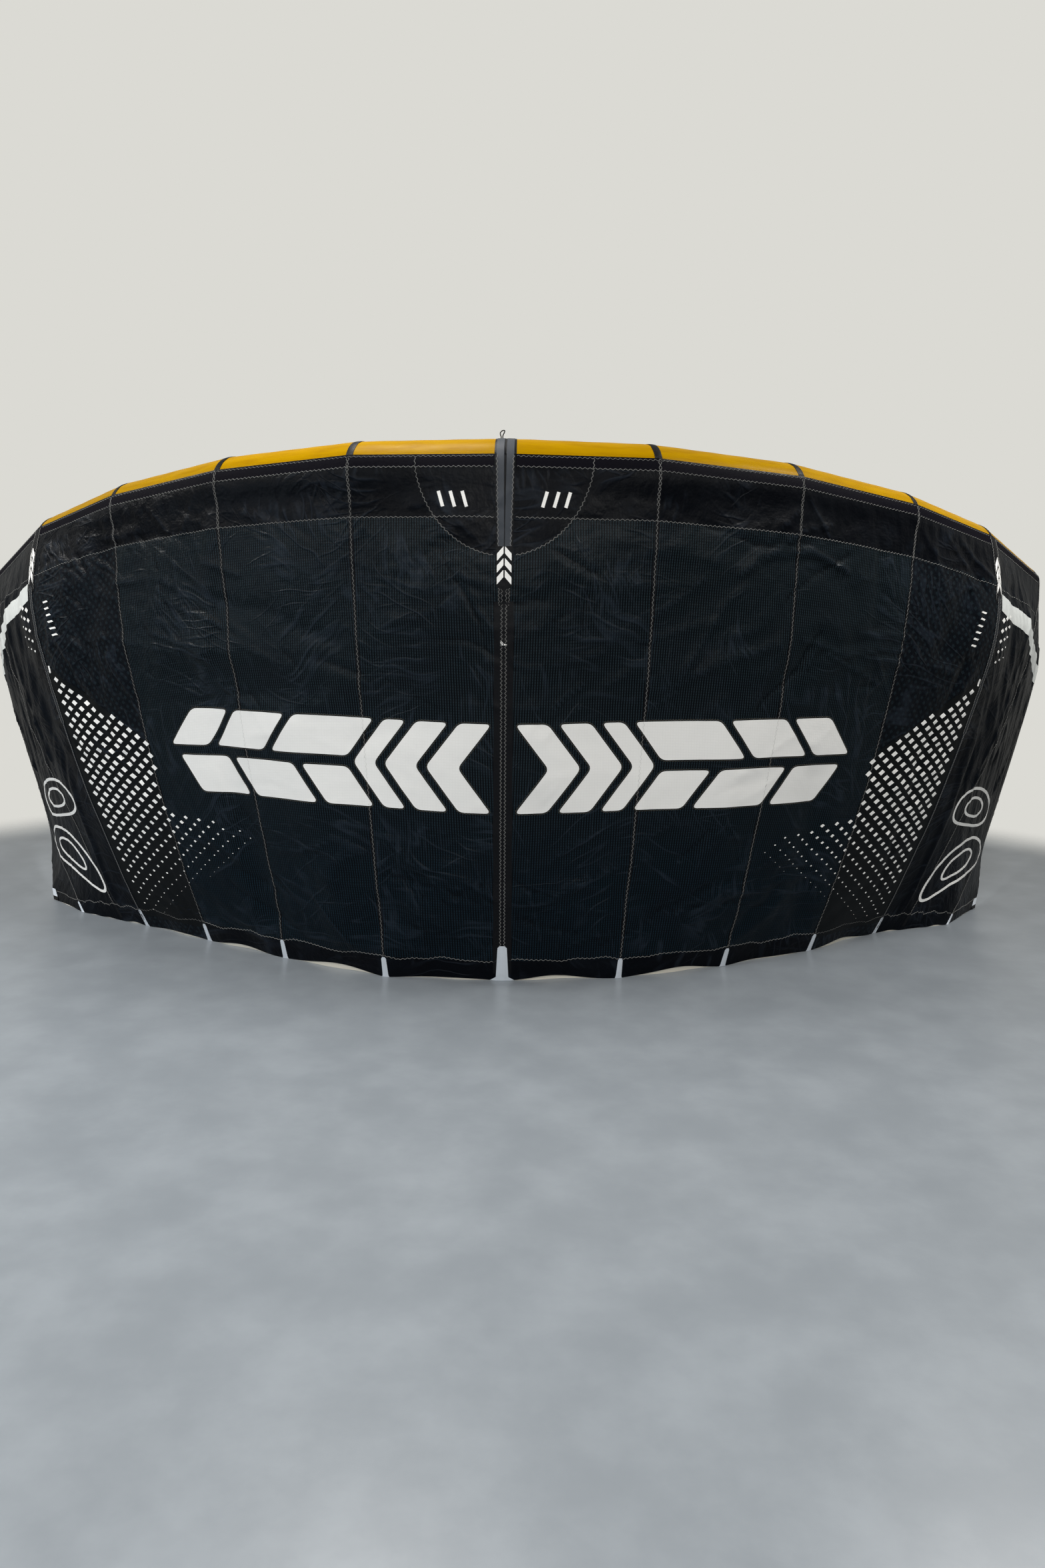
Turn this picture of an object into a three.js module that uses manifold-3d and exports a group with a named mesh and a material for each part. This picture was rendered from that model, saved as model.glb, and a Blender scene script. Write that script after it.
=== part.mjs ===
// Inflatable kite for kitesurfing, pumped up and standing on its trailing edge.
// Millimetres, +Z up. X runs along the span, the outer skin faces -Y and the arch opens towards +Y.
// The origin is the foot of the wide centre tab, where the trailing edge stands on the floor (Z = 0).
import * as THREE from 'three';
import { mergeVertices } from 'three/addons/utils/BufferGeometryUtils.js';
import Module from 'manifold-3d';

const wasm = await Module();
wasm.setup();

// ---- driving sizes -------------------------------------------------------------------------
const CLOTH = 2.0;              // thickness of the canopy sheet
const GAP = 0.3;                // clearance between neighbouring pieces
const TUBE_SIDES = 18;          // facets round the leading-edge tube
const TUBE_CLEAR = 1.5;         // canopy's inner face to the tube
const BAND_PROUD = 0.5;         // joint bands stand this far off the tube
const JOINT_BAND = 20;          // width of a joint band along the tube
const CENTRE_BAND = 57;         // width of the centre band
const SEAT_ANGLE = 56;          // degrees from the crown of the tube to the canopy's front edge
const STRUT_SIDES = 12;
const STRUT_CLEAR = 2.0;        // strut to the canopy's inner face
const STRUT_END = 0.94;         // chord fraction where a strut ends
const TAB_ROWS = 4;
const TAB = 1.2;                // thickness of tabs and of the centre strap
const SEWN_GAP = 0.9;           // tabs and strap to the cloth they lie on

// Stations along the span. le: canopy's front edge; te: trailing edge on the floor;
// camber: height of the profile over its chord; crest: chord fraction of its highest place;
// tube: radius of the leading-edge tube.
const CENTRE = { le: [0, -65, 1505], te: [0, 0], camber: 85, crest: 0.30, tube: 110 };
const LEFT = [
  { le: [-435, -5, 1505], te: [-348, 17], camber: 36, crest: 0.36, tube: 103 },
  { le: [-854, 170, 1480], te: [-684, 179], camber: 44, crest: 0.40, tube: 97 },
  { le: [-1253, 415, 1426], te: [-971, 349], camber: 74, crest: 0.42, tube: 90 },
  { le: [-1619, 708, 1341], te: [-1233, 506], camber: 112, crest: 0.29, tube: 82 },
  { le: [-1922, 1050, 1205], te: [-1334, 560], camber: 85, crest: 0.30, tube: 72 },
  { le: [-2074, 1380, 945], te: [-1430, 612], camber: 60, crest: 0.32, tube: 62 },
  { le: [-2075, 1625, 585], te: [-1513, 657], camber: 54, crest: 0.33, tube: 52 },
  { le: [-2025, 1700, 330], te: [-1692, 828], camber: 20, crest: 0.40, tube: 40 },
];
const RIGHT = [
  { le: [421, -5, 1503], te: [347, 40], camber: 45, crest: 0.42, tube: 103 },
  { le: [853, 170, 1477], te: [678, 169], camber: 72, crest: 0.42, tube: 97 },
  { le: [1266, 415, 1421], te: [983, 341], camber: 75, crest: 0.43, tube: 90 },
  { le: [1617, 708, 1345], te: [1257, 554], camber: 118, crest: 0.29, tube: 82 },
  { le: [1927, 1050, 1222], te: [1361, 596], camber: 88, crest: 0.30, tube: 72 },
  { le: [2076, 1380, 950], te: [1459, 635], camber: 62, crest: 0.32, tube: 62 },
  { le: [2075, 1625, 585], te: [1546, 670], camber: 54, crest: 0.33, tube: 52 },
  { le: [2025, 1700, 330], te: [1729, 903], camber: 20, crest: 0.40, tube: 40 },
];
const STATIONS = [...LEFT.slice().reverse(), CENTRE, ...RIGHT];
const MID = LEFT.length;        // index of the centre station
const HIGH = STATIONS.length - 1;

// Main folds of the slack cloth, each a soft trough (negative) or ridge along a line.
// from / to: [station, chord fraction]; width and depth in mm. Station 0 is the centre, minus is left.
const FOLDS = [
  { from: [-2.35, 0.42], to: [-2.05, 0.90], width: 70, depth: -16 },
  { from: [-1.60, 0.50], to: [-1.30, 0.92], width: 80, depth: 10 },
  { from: [-0.25, 0.70], to: [-1.10, 0.90], width: 55, depth: -9 },
  { from: [-3.10, 0.10], to: [-3.60, 0.42], width: 60, depth: -10 },
  { from: [-4.35, 0.12], to: [-4.30, 0.60], width: 45, depth: -9 },
  { from: [0.30, 0.66], to: [1.15, 0.88], width: 60, depth: -10 },
  { from: [1.55, 0.40], to: [1.75, 0.85], width: 80, depth: 9 },
  { from: [2.45, 0.60], to: [2.70, 0.92], width: 60, depth: -12 },
  { from: [3.75, 0.06], to: [3.45, 0.30], width: 45, depth: -10 },
  { from: [4.40, 0.12], to: [4.45, 0.62], width: 50, depth: -10 },
];

// Chord fractions of the mesh rows: close together over the tube, wider below it.
const ROWS = [0, 0.015, 0.03, 0.045, 0.065, 0.10, 0.15, 0.22, 0.30, 0.40, 0.52, 0.64, 0.76, 0.86, 0.93, 1];
const PANEL_COLUMNS = 4;        // mesh columns across one station bay

// Canopy panels and tube segments between stations, counted outwards from the centre.
const PANELS = [[0, 1], [1, 2], [2, 3], [3, 4], [4, 5], [5, 7], [7, 8]];
const TUBES = [[0, 1], [1, 2], [2, 3], [3, 4], [4, 5], [5, 7], [7, 8]];
const BANDS = [1, 2, 3, 4, 5];
const STRUTS = [
  { name: 'strut_centre', at: 0, root: 50, end: 22 },
  { name: 'strut_inner_l', at: -4, root: 46, end: 20 },
  { name: 'strut_inner_r', at: 4, root: 46, end: 20 },
  { name: 'strut_outer_l', at: -7, root: 34, end: 16 },
  { name: 'strut_outer_r', at: 7, root: 34, end: 16 },
];
// White end tabs: station, half width at the top and at the foot, height.
const TABS = [
  { at: 1, top: 7, foot: 9, height: 64 },
  { at: 2, top: 7, foot: 9, height: 62 },
  { at: 3, top: 7, foot: 9, height: 60 },
  { at: 4, top: 6, foot: 8, height: 62 },
  { at: 7, top: 6, foot: 8, height: 60 },
];
const CENTRE_TAB = { top: 14, foot: 22, height: 95 };
const CORNER_TAB = { width: 26, height: 72 };
const STRAP = { top: 28, foot: 20, from: 0.002, to: 0.19 };
// The loop stands left of the centre; fromTop places it on the uppermost facet of the band.
const LOOP = { wire: 3, width: 17, height: 25, offCentre: 14, fromTop: 0.2 };

// ---- materials -----------------------------------------------------------------------------
const finish = (color, roughness) => new THREE.MeshStandardMaterial({ color, roughness, metalness: 0 });
const TUBE_YELLOW = finish(0xd9a514, 0.45);
const TRIM_BLACK = finish(0x1b1b20, 0.7);
const CANOPY_BLACK = finish(0x171a1e, 0.55);
const STRUT_CLOTH = finish(0x22242a, 0.6);
const TAB_WHITE = finish(0xc8ccd6, 0.7);
const STRAP_GREY = finish(0x4a4c55, 0.7);
const CORD_BLACK = finish(0x101012, 0.8);

// ---- small helpers -------------------------------------------------------------------------
const radians = THREE.MathUtils.degToRad;
const lerp = THREE.MathUtils.lerp;
const vec = (x, y, z = 0) => new THREE.Vector3(x, y, z);
const mix = (a, b, t) => a.clone().lerp(b, t);
const evenly = (from, to, count) => Array.from({ length: count + 1 }, (_, k) => lerp(from, to, k / count));
const clampIndex = (i) => Math.min(HIGH, Math.max(0, i));

// A closed body from triangles over shared points; turned inside out if its volume is negative.
function bodyGeometry(points, triangles) {
  let volume = 0;
  for (const [a, b, c] of triangles) {
    volume += points[a].dot(points[b].clone().cross(points[c]));
  }
  const faces = volume < 0 ? triangles.map(([a, b, c]) => [a, c, b]) : triangles;
  const geometry = new THREE.BufferGeometry();
  geometry.setAttribute('position', new THREE.Float32BufferAttribute(points.flatMap((p) => p.toArray()), 3));
  geometry.setIndex(faces.flat());
  return geometry;
}

// A solid between two grids of points of the same size (rows by columns).
function sheetGeometry(outer, inner) {
  const rows = outer.length;
  const columns = outer[0].length;
  const points = [...outer.flat(), ...inner.flat()];
  const front = (r, c) => r * columns + c;
  const back = (r, c) => rows * columns + r * columns + c;
  const triangles = [];
  const quad = (a, b, c, d) => triangles.push([a, b, c], [a, c, d]);
  for (let r = 0; r < rows - 1; r += 1) {
    for (let c = 0; c < columns - 1; c += 1) {
      quad(front(r, c), front(r, c + 1), front(r + 1, c + 1), front(r + 1, c));
      quad(back(r, c), back(r + 1, c), back(r + 1, c + 1), back(r, c + 1));
    }
    quad(front(r, 0), front(r + 1, 0), back(r + 1, 0), back(r, 0));
    quad(front(r + 1, columns - 1), front(r, columns - 1), back(r, columns - 1), back(r + 1, columns - 1));
  }
  for (let c = 0; c < columns - 1; c += 1) {
    quad(front(0, c + 1), front(0, c), back(0, c), back(0, c + 1));
    quad(front(rows - 1, c), front(rows - 1, c + 1), back(rows - 1, c + 1), back(rows - 1, c));
  }
  return bodyGeometry(points, triangles);
}

// A solid through rings of equal point counts, closed by flat fans at both ends.
function ringGeometry(rings) {
  const sides = rings[0].length;
  const points = rings.flat();
  const triangles = [];
  for (let r = 0; r < rings.length - 1; r += 1) {
    for (let s = 0; s < sides; s += 1) {
      const next = (s + 1) % sides;
      const [a, b] = [r * sides + s, r * sides + next];
      triangles.push([a, b, b + sides], [a, b + sides, a + sides]);
    }
  }
  const last = (rings.length - 1) * sides;
  for (let s = 1; s < sides - 1; s += 1) {
    triangles.push([0, s + 1, s], [last, last + s, last + s + 1]);
  }
  return bodyGeometry(points, triangles);
}

// ---- the canopy surface --------------------------------------------------------------------
// Frame of each station: front edge, chord, outward normal and the axis of the tube.
const frames = STATIONS.map((row, i) => {
  const before = STATIONS[clampIndex(i - 1)];
  const after = STATIONS[clampIndex(i + 1)];
  const edge = vec(...row.le);
  const chord = vec(...row.te).sub(edge);
  const along = chord.clone().normalize();
  const tubeRun = vec(...after.le).sub(vec(...before.le)).normalize();
  const span = tubeRun.clone().add(vec(...after.te).sub(vec(...before.te)).normalize());
  const out = along.clone().cross(span).normalize();
  const ringOut = out.clone().addScaledVector(tubeRun, -out.dot(tubeRun)).normalize();
  const ringDown = tubeRun.clone().cross(ringOut).normalize();
  if (ringDown.dot(along) < 0) ringDown.negate();
  const seat = row.tube + TUBE_CLEAR + CLOTH / 2;
  const axis = edge.clone()
    .addScaledVector(ringDown, seat * Math.cos(radians(SEAT_ANGLE)))
    .addScaledVector(ringOut, -seat * Math.sin(radians(SEAT_ANGLE)));
  return { row, edge, chord, along, out, ringOut, ringDown, seat, axis, slant: along.dot(ringDown) };
});

// Height of the cloth over the chord of a station: it lies on the tube first, then on the camber.
function profileHeight(frame, v) {
  const { row, seat, slant } = frame;
  const { camber, crest } = row;
  const rise = v < crest
    ? camber * (2 * crest * v - v * v) / (crest * crest)
    : camber * (1 - 2 * crest + 2 * crest * v - v * v) / ((1 - crest) * (1 - crest));
  const run = v * frame.chord.length();
  const reach = run * slant - seat * Math.cos(radians(SEAT_ANGLE));
  const onTube = Math.abs(reach) < seat
    ? Math.sqrt(seat * seat - reach * reach) - seat * Math.sin(radians(SEAT_ANGLE))
    : -seat;
  const soften = Math.min(8, 0.15 * run);
  return (rise + onTube + Math.hypot(rise - onTube, soften)) / 2;
}

function stationPoint(i, v) {
  const frame = frames[clampIndex(i)];
  return frame.edge.clone()
    .addScaledVector(frame.chord, v)
    .addScaledVector(frame.out, profileHeight(frame, v));
}

// Depth of the folds at a place on the cloth.
function foldDepth(station, v, chordLength) {
  const fadeEdge = Math.min(1, v / 0.08) * Math.min(1, (1 - v) / 0.06);
  let depth = 0;
  for (const fold of FOLDS) {
    const bay = 400;            // a bay between stations is about this wide
    const start = vec(fold.from[0] * bay, fold.from[1] * chordLength);
    const line = vec(fold.to[0] * bay, fold.to[1] * chordLength).sub(start);
    const place = vec(station * bay, v * chordLength).sub(start);
    const t = place.dot(line) / line.lengthSq();
    const off = place.distanceTo(line.clone().multiplyScalar(Math.min(1, Math.max(0, t))));
    depth += fold.depth * Math.exp(-((off / fold.width) ** 2));
  }
  return depth * fadeEdge;
}

// Middle surface of the cloth. station runs from -8 to 8, v from 0 (front edge) to 1 (floor).
// Straight between stations at both edges, smoothly curved in between.
function cloth(station, v) {
  const place = Math.min(HIGH, Math.max(0, station + MID));
  const i = Math.min(HIGH - 1, Math.floor(place));
  const t = place - i;
  const [p0, p1, p2, p3] = [i - 1, i, i + 1, i + 2].map((k) => stationPoint(k, v));
  const straight = mix(p1, p2, t);
  const smooth = new THREE.CatmullRomCurve3([p0, p1, p2, p3], false, 'catmullrom', 0.5);
  const curved = smooth.getPoint((1 + t) / 3);
  const ease = THREE.MathUtils.smoothstep(v, 0.05, 0.2) * (1 - THREE.MathUtils.smoothstep(v, 0.86, 1));
  const point = mix(straight, curved, ease);
  const out = mix(frames[i].out, frames[i + 1].out, t).normalize();
  const length = lerp(frames[i].chord.length(), frames[i + 1].chord.length(), t);
  return point.addScaledVector(out, foldDepth(station, v, length));
}

function clothNormal(station, v) {
  const [du, dv] = [0.03, 0.01];
  const across = cloth(station + du, v).sub(cloth(station - du, v));
  const down = cloth(station, Math.min(1, v + dv)).sub(cloth(station, Math.max(0, v - dv)));
  return down.cross(across).normalize();
}

// A point at a distance outwards from the middle surface; the trailing edge is cut flat at the floor.
function offCloth(station, v, distance) {
  const point = cloth(station, v).addScaledVector(clothNormal(station, v), distance);
  if (v >= 1) point.z = 0;
  return point;
}

// The same point on the flat facets between the mesh columns and rows, so that what is sewn on
// lies evenly on them. Each cell is split from its inner top corner to its outer foot corner.
function offFacets(station, v, distance) {
  const side = station < 0 ? -1 : 1;
  const inner = Math.floor(Math.abs(station) * PANEL_COLUMNS) / PANEL_COLUMNS;
  const outer = inner + 1 / PANEL_COLUMNS;
  const row = Math.max(0, ROWS.findIndex((place) => place >= v) - 1);
  const a = (Math.abs(station) - inner) * PANEL_COLUMNS;
  const b = (v - ROWS[row]) / (ROWS[row + 1] - ROWS[row]);
  const corner = (column, place) => offCloth(side * column, place, distance);
  const top = corner(inner, ROWS[row]);
  const foot = corner(outer, ROWS[row + 1]);
  const third = a >= b ? corner(outer, ROWS[row]) : corner(inner, ROWS[row + 1]);
  const [toThird, toFoot] = a >= b ? [a - b, b] : [b - a, a];
  return top.clone()
    .addScaledVector(third.sub(top), toThird)
    .addScaledVector(foot.sub(top), toFoot);
}

// ---- pieces --------------------------------------------------------------------------------
const kite = new THREE.Group();
function addPiece(name, geometry, material) {
  const mesh = new THREE.Mesh(geometry, material);
  mesh.name = name;
  kite.add(mesh);
}

// Half a gap next to a seam, as a part of one bay at its narrow end.
function seamInset(from, to) {
  const a = STATIONS[MID + from].te;
  const b = STATIONS[MID + to].te;
  return (GAP / 2) * Math.abs(to - from) / Math.hypot(b[0] - a[0], b[1] - a[1]);
}

function addPanel(name, from, to) {
  const inset = seamInset(from, to) * Math.sign(to - from);
  const columns = PANEL_COLUMNS * Math.abs(to - from);
  const stations = Array.from({ length: columns + 1 }, (_, c) => lerp(from + inset, to - inset, c / columns));
  const grid = (distance) => ROWS.map((v) => stations.map((station) => offCloth(station, v, distance)));
  addPiece(name, sheetGeometry(grid(CLOTH / 2), grid(-CLOTH / 2)), CANOPY_BLACK);
}

// Ring of the leading-edge tube at a station, grown by an amount.
function tubeRing(index, grow = 0) {
  const frame = frames[index];
  return Array.from({ length: TUBE_SIDES }, (_, s) => {
    const turn = radians(SEAT_ANGLE + 360 * s / TUBE_SIDES);
    return frame.axis.clone()
      .addScaledVector(frame.ringDown, -(frame.row.tube + grow) * Math.cos(turn))
      .addScaledVector(frame.ringOut, (frame.row.tube + grow) * Math.sin(turn));
  });
}

// Ring between two stations, at a distance along the tube from the first.
function ringAlong(fromIndex, toIndex, distance, grow = 0) {
  const length = frames[fromIndex].axis.distanceTo(frames[toIndex].axis);
  const [a, b] = [tubeRing(fromIndex, grow), tubeRing(toIndex, grow)];
  return a.map((point, s) => mix(point, b[s], distance / length));
}

const bandHalf = (station) => (station === 0 ? CENTRE_BAND : JOINT_BAND) / 2;

function addTube(name, from, to) {
  const side = Math.sign(to - from);
  const indices = Array.from({ length: Math.abs(to - from) + 1 }, (_, k) => MID + from + side * k);
  const hasBand = (station) => BANDS.includes(Math.abs(station)) || station === 0;
  const startInset = hasBand(from) ? bandHalf(from) + GAP : GAP / 2;
  const endInset = hasBand(to) ? bandHalf(to) + GAP : GAP / 2;
  const rings = [ringAlong(indices[0], indices[1], startInset)];
  indices.slice(1, -1).forEach((index) => rings.push(tubeRing(index)));
  const [last, previous] = [indices.at(-1), indices.at(-2)];
  if (Math.abs(to) === LEFT.length) {
    rings.push(...roundedTip(previous, last));
  } else {
    rings.push(ringAlong(last, previous, endInset));
  }
  addPiece(name, ringGeometry(rings), TUBE_YELLOW);
}

// The closed end of the tube: it draws in over its last radius.
function roundedTip(previous, last) {
  const radius = frames[last].row.tube;
  const direction = frames[last].axis.clone().sub(frames[previous].axis).normalize();
  return [0, 30, 60].map((degrees) => {
    const centre = frames[last].axis.clone().addScaledVector(direction, radius * Math.sin(radians(degrees)));
    return tubeRing(last).map((point) => point.sub(frames[last].axis)
      .multiplyScalar(Math.cos(radians(degrees))).add(centre));
  });
}

function addBand(name, station) {
  const index = MID + station;
  const rings = [
    ringAlong(index, index - 1, bandHalf(station), BAND_PROUD),
    tubeRing(index, BAND_PROUD),
    ringAlong(index, index + 1, bandHalf(station), BAND_PROUD),
  ];
  addPiece(name, ringGeometry(rings), TRIM_BLACK);
}

// ---- struts: tapered tubes that follow the camber and end against the leading-edge tube ------
function asSolid(geometry) {
  const bare = geometry.clone();
  bare.deleteAttribute('normal');
  bare.deleteAttribute('uv');
  const merged = mergeVertices(bare, 1e-4);
  return new wasm.Manifold(new wasm.Mesh({
    numProp: 3,
    vertProperties: new Float32Array(merged.attributes.position.array),
    triVerts: new Uint32Array(merged.index.array),
  }));
}

function asGeometry(solid) {
  const mesh = solid.getMesh();
  const geometry = new THREE.BufferGeometry();
  geometry.setAttribute('position', new THREE.Float32BufferAttribute(mesh.vertProperties, 3));
  geometry.setIndex(Array.from(mesh.triVerts));
  return geometry;
}

function addStrut({ name, at, root, end }) {
  const index = MID + at;
  const steps = [0.03, 0.10, 0.18, 0.28, 0.40, 0.54, 0.68, 0.81, 0.90, STRUT_END];
  const radiusAt = (v) => lerp(root, end, v / STRUT_END) * (v >= STRUT_END ? 0.55 : 1);
  const inside = (v) => cloth(at, v)
    .addScaledVector(clothNormal(at, v), -(lerp(root, end, v / STRUT_END) + CLOTH / 2 + STRUT_CLEAR));
  const rings = steps.map((v) => {
    const run = inside(v + 0.01).sub(inside(v - 0.01)).normalize();
    const up = clothNormal(at, v);
    up.addScaledVector(run, -up.dot(run)).normalize();
    const side = run.clone().cross(up);
    return Array.from({ length: STRUT_SIDES }, (_, s) => {
      const turn = 2 * Math.PI * s / STRUT_SIDES;
      return inside(v)
        .addScaledVector(up, radiusAt(v) * Math.cos(turn))
        .addScaledVector(side, radiusAt(v) * Math.sin(turn));
    });
  });
  const grow = BAND_PROUD + GAP;
  const tube = ringGeometry([index - 1, index, index + 1].map((k) => tubeRing(clampIndex(k), grow)));
  const strut = asSolid(ringGeometry(rings)).subtract(asSolid(tube));
  addPiece(name, asGeometry(strut), STRUT_CLOTH);
}

// ---- tabs and the centre strap, laid on the outer face of the cloth -------------------------
// halfWidth gives the half width in mm at a chord fraction.
function addPatch(name, station, fractions, halfWidth, material, columns = 2) {
  const bayWidth = (v) => cloth(station + 0.5, v).distanceTo(cloth(station - 0.5, v));
  const grid = (distance) => fractions.map((v) => Array.from({ length: columns + 1 }, (_, c) => {
    const across = lerp(-1, 1, c / columns) * halfWidth(v) / bayWidth(v);
    return offFacets(station + across, v, distance);
  }));
  const inner = CLOTH / 2 + SEWN_GAP;
  addPiece(name, sheetGeometry(grid(inner + TAB), grid(inner)), material);
}

function addTab(name, station, { top, foot, height }) {
  const start = 1 - height / frames[MID + station].chord.length();
  const fractions = evenly(start, 1, TAB_ROWS);
  addPatch(name, station, fractions, (v) => lerp(top, foot, (v - start) / (1 - start)), TAB_WHITE);
}

function addCornerTab(name, station) {
  const start = 1 - CORNER_TAB.height / frames[MID + station].chord.length();
  const side = Math.sign(station);
  const bay = cloth(station, 1).distanceTo(cloth(station - side, 1));
  const centre = station - side * (CORNER_TAB.width / 2 + 2) / bay;
  const fractions = evenly(start, 1, TAB_ROWS);
  const half = () => CORNER_TAB.width / 2;
  addPatch(name, centre, fractions, half, TAB_WHITE, 4);
}

function addStrap() {
  const onRows = ROWS.filter((v) => v > STRAP.from && v < STRAP.to);
  const lower = onRows.at(-1);
  const fractions = [STRAP.from, ...onRows.slice(0, -3), ...evenly(onRows.at(-3), lower, 6), STRAP.to];
  const half = (v) => lerp(STRAP.top, STRAP.foot, (v - STRAP.from) / (STRAP.to - STRAP.from));
  addPatch('centre_strap', 0, fractions, half, STRAP_GREY);
}

// ---- the cord loop on top of the centre band -----------------------------------------------
function addLoop() {
  const ring = ringAlong(MID, MID - 1, LOOP.offCentre, BAND_PROUD).sort((a, b) => b.z - a.z);
  const foot = mix(ring[0], ring[1], LOOP.fromTop).add(vec(0, 0, GAP));
  const half = LOOP.width / 2;
  const path = new THREE.CatmullRomCurve3([
    foot.clone().add(vec(-2.5, 0, 0)),
    foot.clone().add(vec(-2.5, 0, 4)),
    foot.clone().add(vec(-half * 0.8, 0, LOOP.height * 0.5)),
    foot.clone().add(vec(-half * 0.2, 0, LOOP.height * 0.95)),
    foot.clone().add(vec(half * 0.9, 0, LOOP.height * 0.85)),
    foot.clone().add(vec(half * 0.8, 0, LOOP.height * 0.45)),
    foot.clone().add(vec(2.5, 0, 4)),
    foot.clone().add(vec(2.5, 0, 0)),
  ]);
  const section = new THREE.Shape().absarc(0, 0, LOOP.wire / 2, 0, 2 * Math.PI);
  const options = { steps: 16, curveSegments: 4, extrudePath: path, bevelEnabled: false };
  const geometry = new THREE.ExtrudeGeometry(section, options);
  addPiece('cord_loop', geometry, CORD_BLACK);
}

// ---- assembly ------------------------------------------------------------------------------
for (const [suffix, side] of [['l', -1], ['r', 1]]) {
  TUBES.forEach(([from, to], k) => addTube(`le_tube_${suffix}${k + 1}`, side * from, side * to));
  PANELS.forEach(([from, to], k) => addPanel(`canopy_${suffix}${k + 1}`, side * from, side * to));
  BANDS.forEach((station) => addBand(`joint_band_${suffix}${station}`, side * station));
  TABS.forEach((tab, k) => addTab(`tab_${suffix}${k + 1}`, side * tab.at, tab));
  addCornerTab(`corner_tab_${suffix}`, side * LEFT.length);
}
addBand('joint_band_centre', 0);
STRUTS.forEach(addStrut);
addTab('tab_centre', 0, CENTRE_TAB);
addStrap();
addLoop();

// The stations are measured from the foot of the centre seam; the tab lies in front of it.
kite.position.y = CLOTH / 2 + SEWN_GAP + TAB / 2;

export default kite;
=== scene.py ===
"""Inflatable kite for kitesurfing, pumped up and standing on its trailing edge.

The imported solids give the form; this script gives every piece its cloth, seams, stitching and trim.
Metres, +Z up. X runs along the span, the outer skin faces -Y and the arch opens towards +Y.
A place on the kite is a station, from -8 at the left tip to 8 at the right one, and a row or v, the
fraction of the chord from 0 at the front edge of the canopy to 1 at the trailing edge on the floor.
"""

import logging
import math
from collections.abc import Callable, Sequence
from dataclasses import dataclass
from enum import Enum

import bpy
import numpy as np
from mathutils import Matrix, Vector
from mathutils.geometry import delaunay_2d_cdt


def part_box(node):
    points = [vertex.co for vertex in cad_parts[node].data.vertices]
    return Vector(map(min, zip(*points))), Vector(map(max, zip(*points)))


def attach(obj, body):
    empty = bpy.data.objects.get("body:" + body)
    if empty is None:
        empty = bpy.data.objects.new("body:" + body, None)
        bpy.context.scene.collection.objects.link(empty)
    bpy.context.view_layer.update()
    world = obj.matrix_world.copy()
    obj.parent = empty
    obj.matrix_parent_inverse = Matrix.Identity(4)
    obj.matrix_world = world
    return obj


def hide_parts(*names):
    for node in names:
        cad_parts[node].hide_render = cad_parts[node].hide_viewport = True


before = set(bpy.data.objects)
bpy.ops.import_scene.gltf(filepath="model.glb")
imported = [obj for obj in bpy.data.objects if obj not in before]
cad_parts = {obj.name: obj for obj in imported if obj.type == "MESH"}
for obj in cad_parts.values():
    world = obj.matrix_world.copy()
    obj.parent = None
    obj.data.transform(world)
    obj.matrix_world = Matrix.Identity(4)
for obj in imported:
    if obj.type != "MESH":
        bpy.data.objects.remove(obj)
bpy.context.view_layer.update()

Array = np.ndarray
Pair = tuple[float, float]
Triple = tuple[float, float, float]
Socket = bpy.types.NodeSocket
LOG = logging.getLogger("kite")

# ---- driving sizes ------------------------------------------------------------------------------
MM = 0.001
BODY = "root"
FLAT_MAP = "flat"
SIDES = (("l", -1), ("r", 1))
PACKED_CLOTH = 2.0 * MM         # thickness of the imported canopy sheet
SHELL = 1.0 * MM                # thickness of the cloth made here
SEAM_FOOT = 2.5 * MM            # the foot of the centre seam stands this far behind the origin
SEAT_ANGLE = math.radians(56)   # crown of the tube to the canopy's front edge
TUBE_CLEAR = 1.5 * MM
BAND_PROUD = 0.5 * MM
GAP = 0.3 * MM
JOINT_BAND = 20 * MM
CENTRE_BAND = 57 * MM
STRUT_CLEAR = 2.0 * MM
STRUT_END = 0.94
STRUT_SEAM = 4.0                # station of the seam over an inner strut
FRONT_LINE = 0.112              # row of the seam across the front of the canopy
PATCH = (0.57, 0.180)           # the smooth centre patch: half its width in stations, and its foot
HEM = 65 * MM                   # trailing edge to the hem seam
BAY = 400 * MM                  # about how wide a station bay is
CUT_WIDTH = 0.42                # about how wide a panel is cut
NEAR = 1e-6


@dataclass(frozen=True)
class Station:
    """One section across the kite, in millimetres."""

    edge: Triple
    foot: Pair
    camber: float
    crest: float
    tube: float


CENTRE = Station((0, -65, 1505), (0, 0), 85, 0.30, 110)
LEFT = (
    Station((-435, -5, 1505), (-348, 17), 36, 0.36, 103),
    Station((-854, 170, 1480), (-684, 179), 44, 0.40, 97),
    Station((-1253, 415, 1426), (-971, 349), 74, 0.42, 90),
    Station((-1619, 708, 1341), (-1233, 506), 112, 0.29, 82),
    Station((-1922, 1050, 1205), (-1334, 560), 85, 0.30, 72),
    Station((-2074, 1380, 945), (-1430, 612), 60, 0.32, 62),
    Station((-2075, 1625, 585), (-1513, 657), 54, 0.33, 52),
    Station((-2025, 1700, 330), (-1692, 828), 20, 0.40, 40),
)
RIGHT = (
    Station((421, -5, 1503), (347, 40), 45, 0.42, 103),
    Station((853, 170, 1477), (678, 169), 72, 0.42, 97),
    Station((1266, 415, 1421), (983, 341), 75, 0.43, 90),
    Station((1617, 708, 1345), (1257, 554), 118, 0.29, 82),
    Station((1927, 1050, 1222), (1361, 596), 88, 0.30, 72),
    Station((2076, 1380, 950), (1459, 635), 62, 0.32, 62),
    Station((2075, 1625, 585), (1546, 670), 54, 0.33, 52),
    Station((2025, 1700, 330), (1729, 903), 20, 0.40, 40),
)
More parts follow.
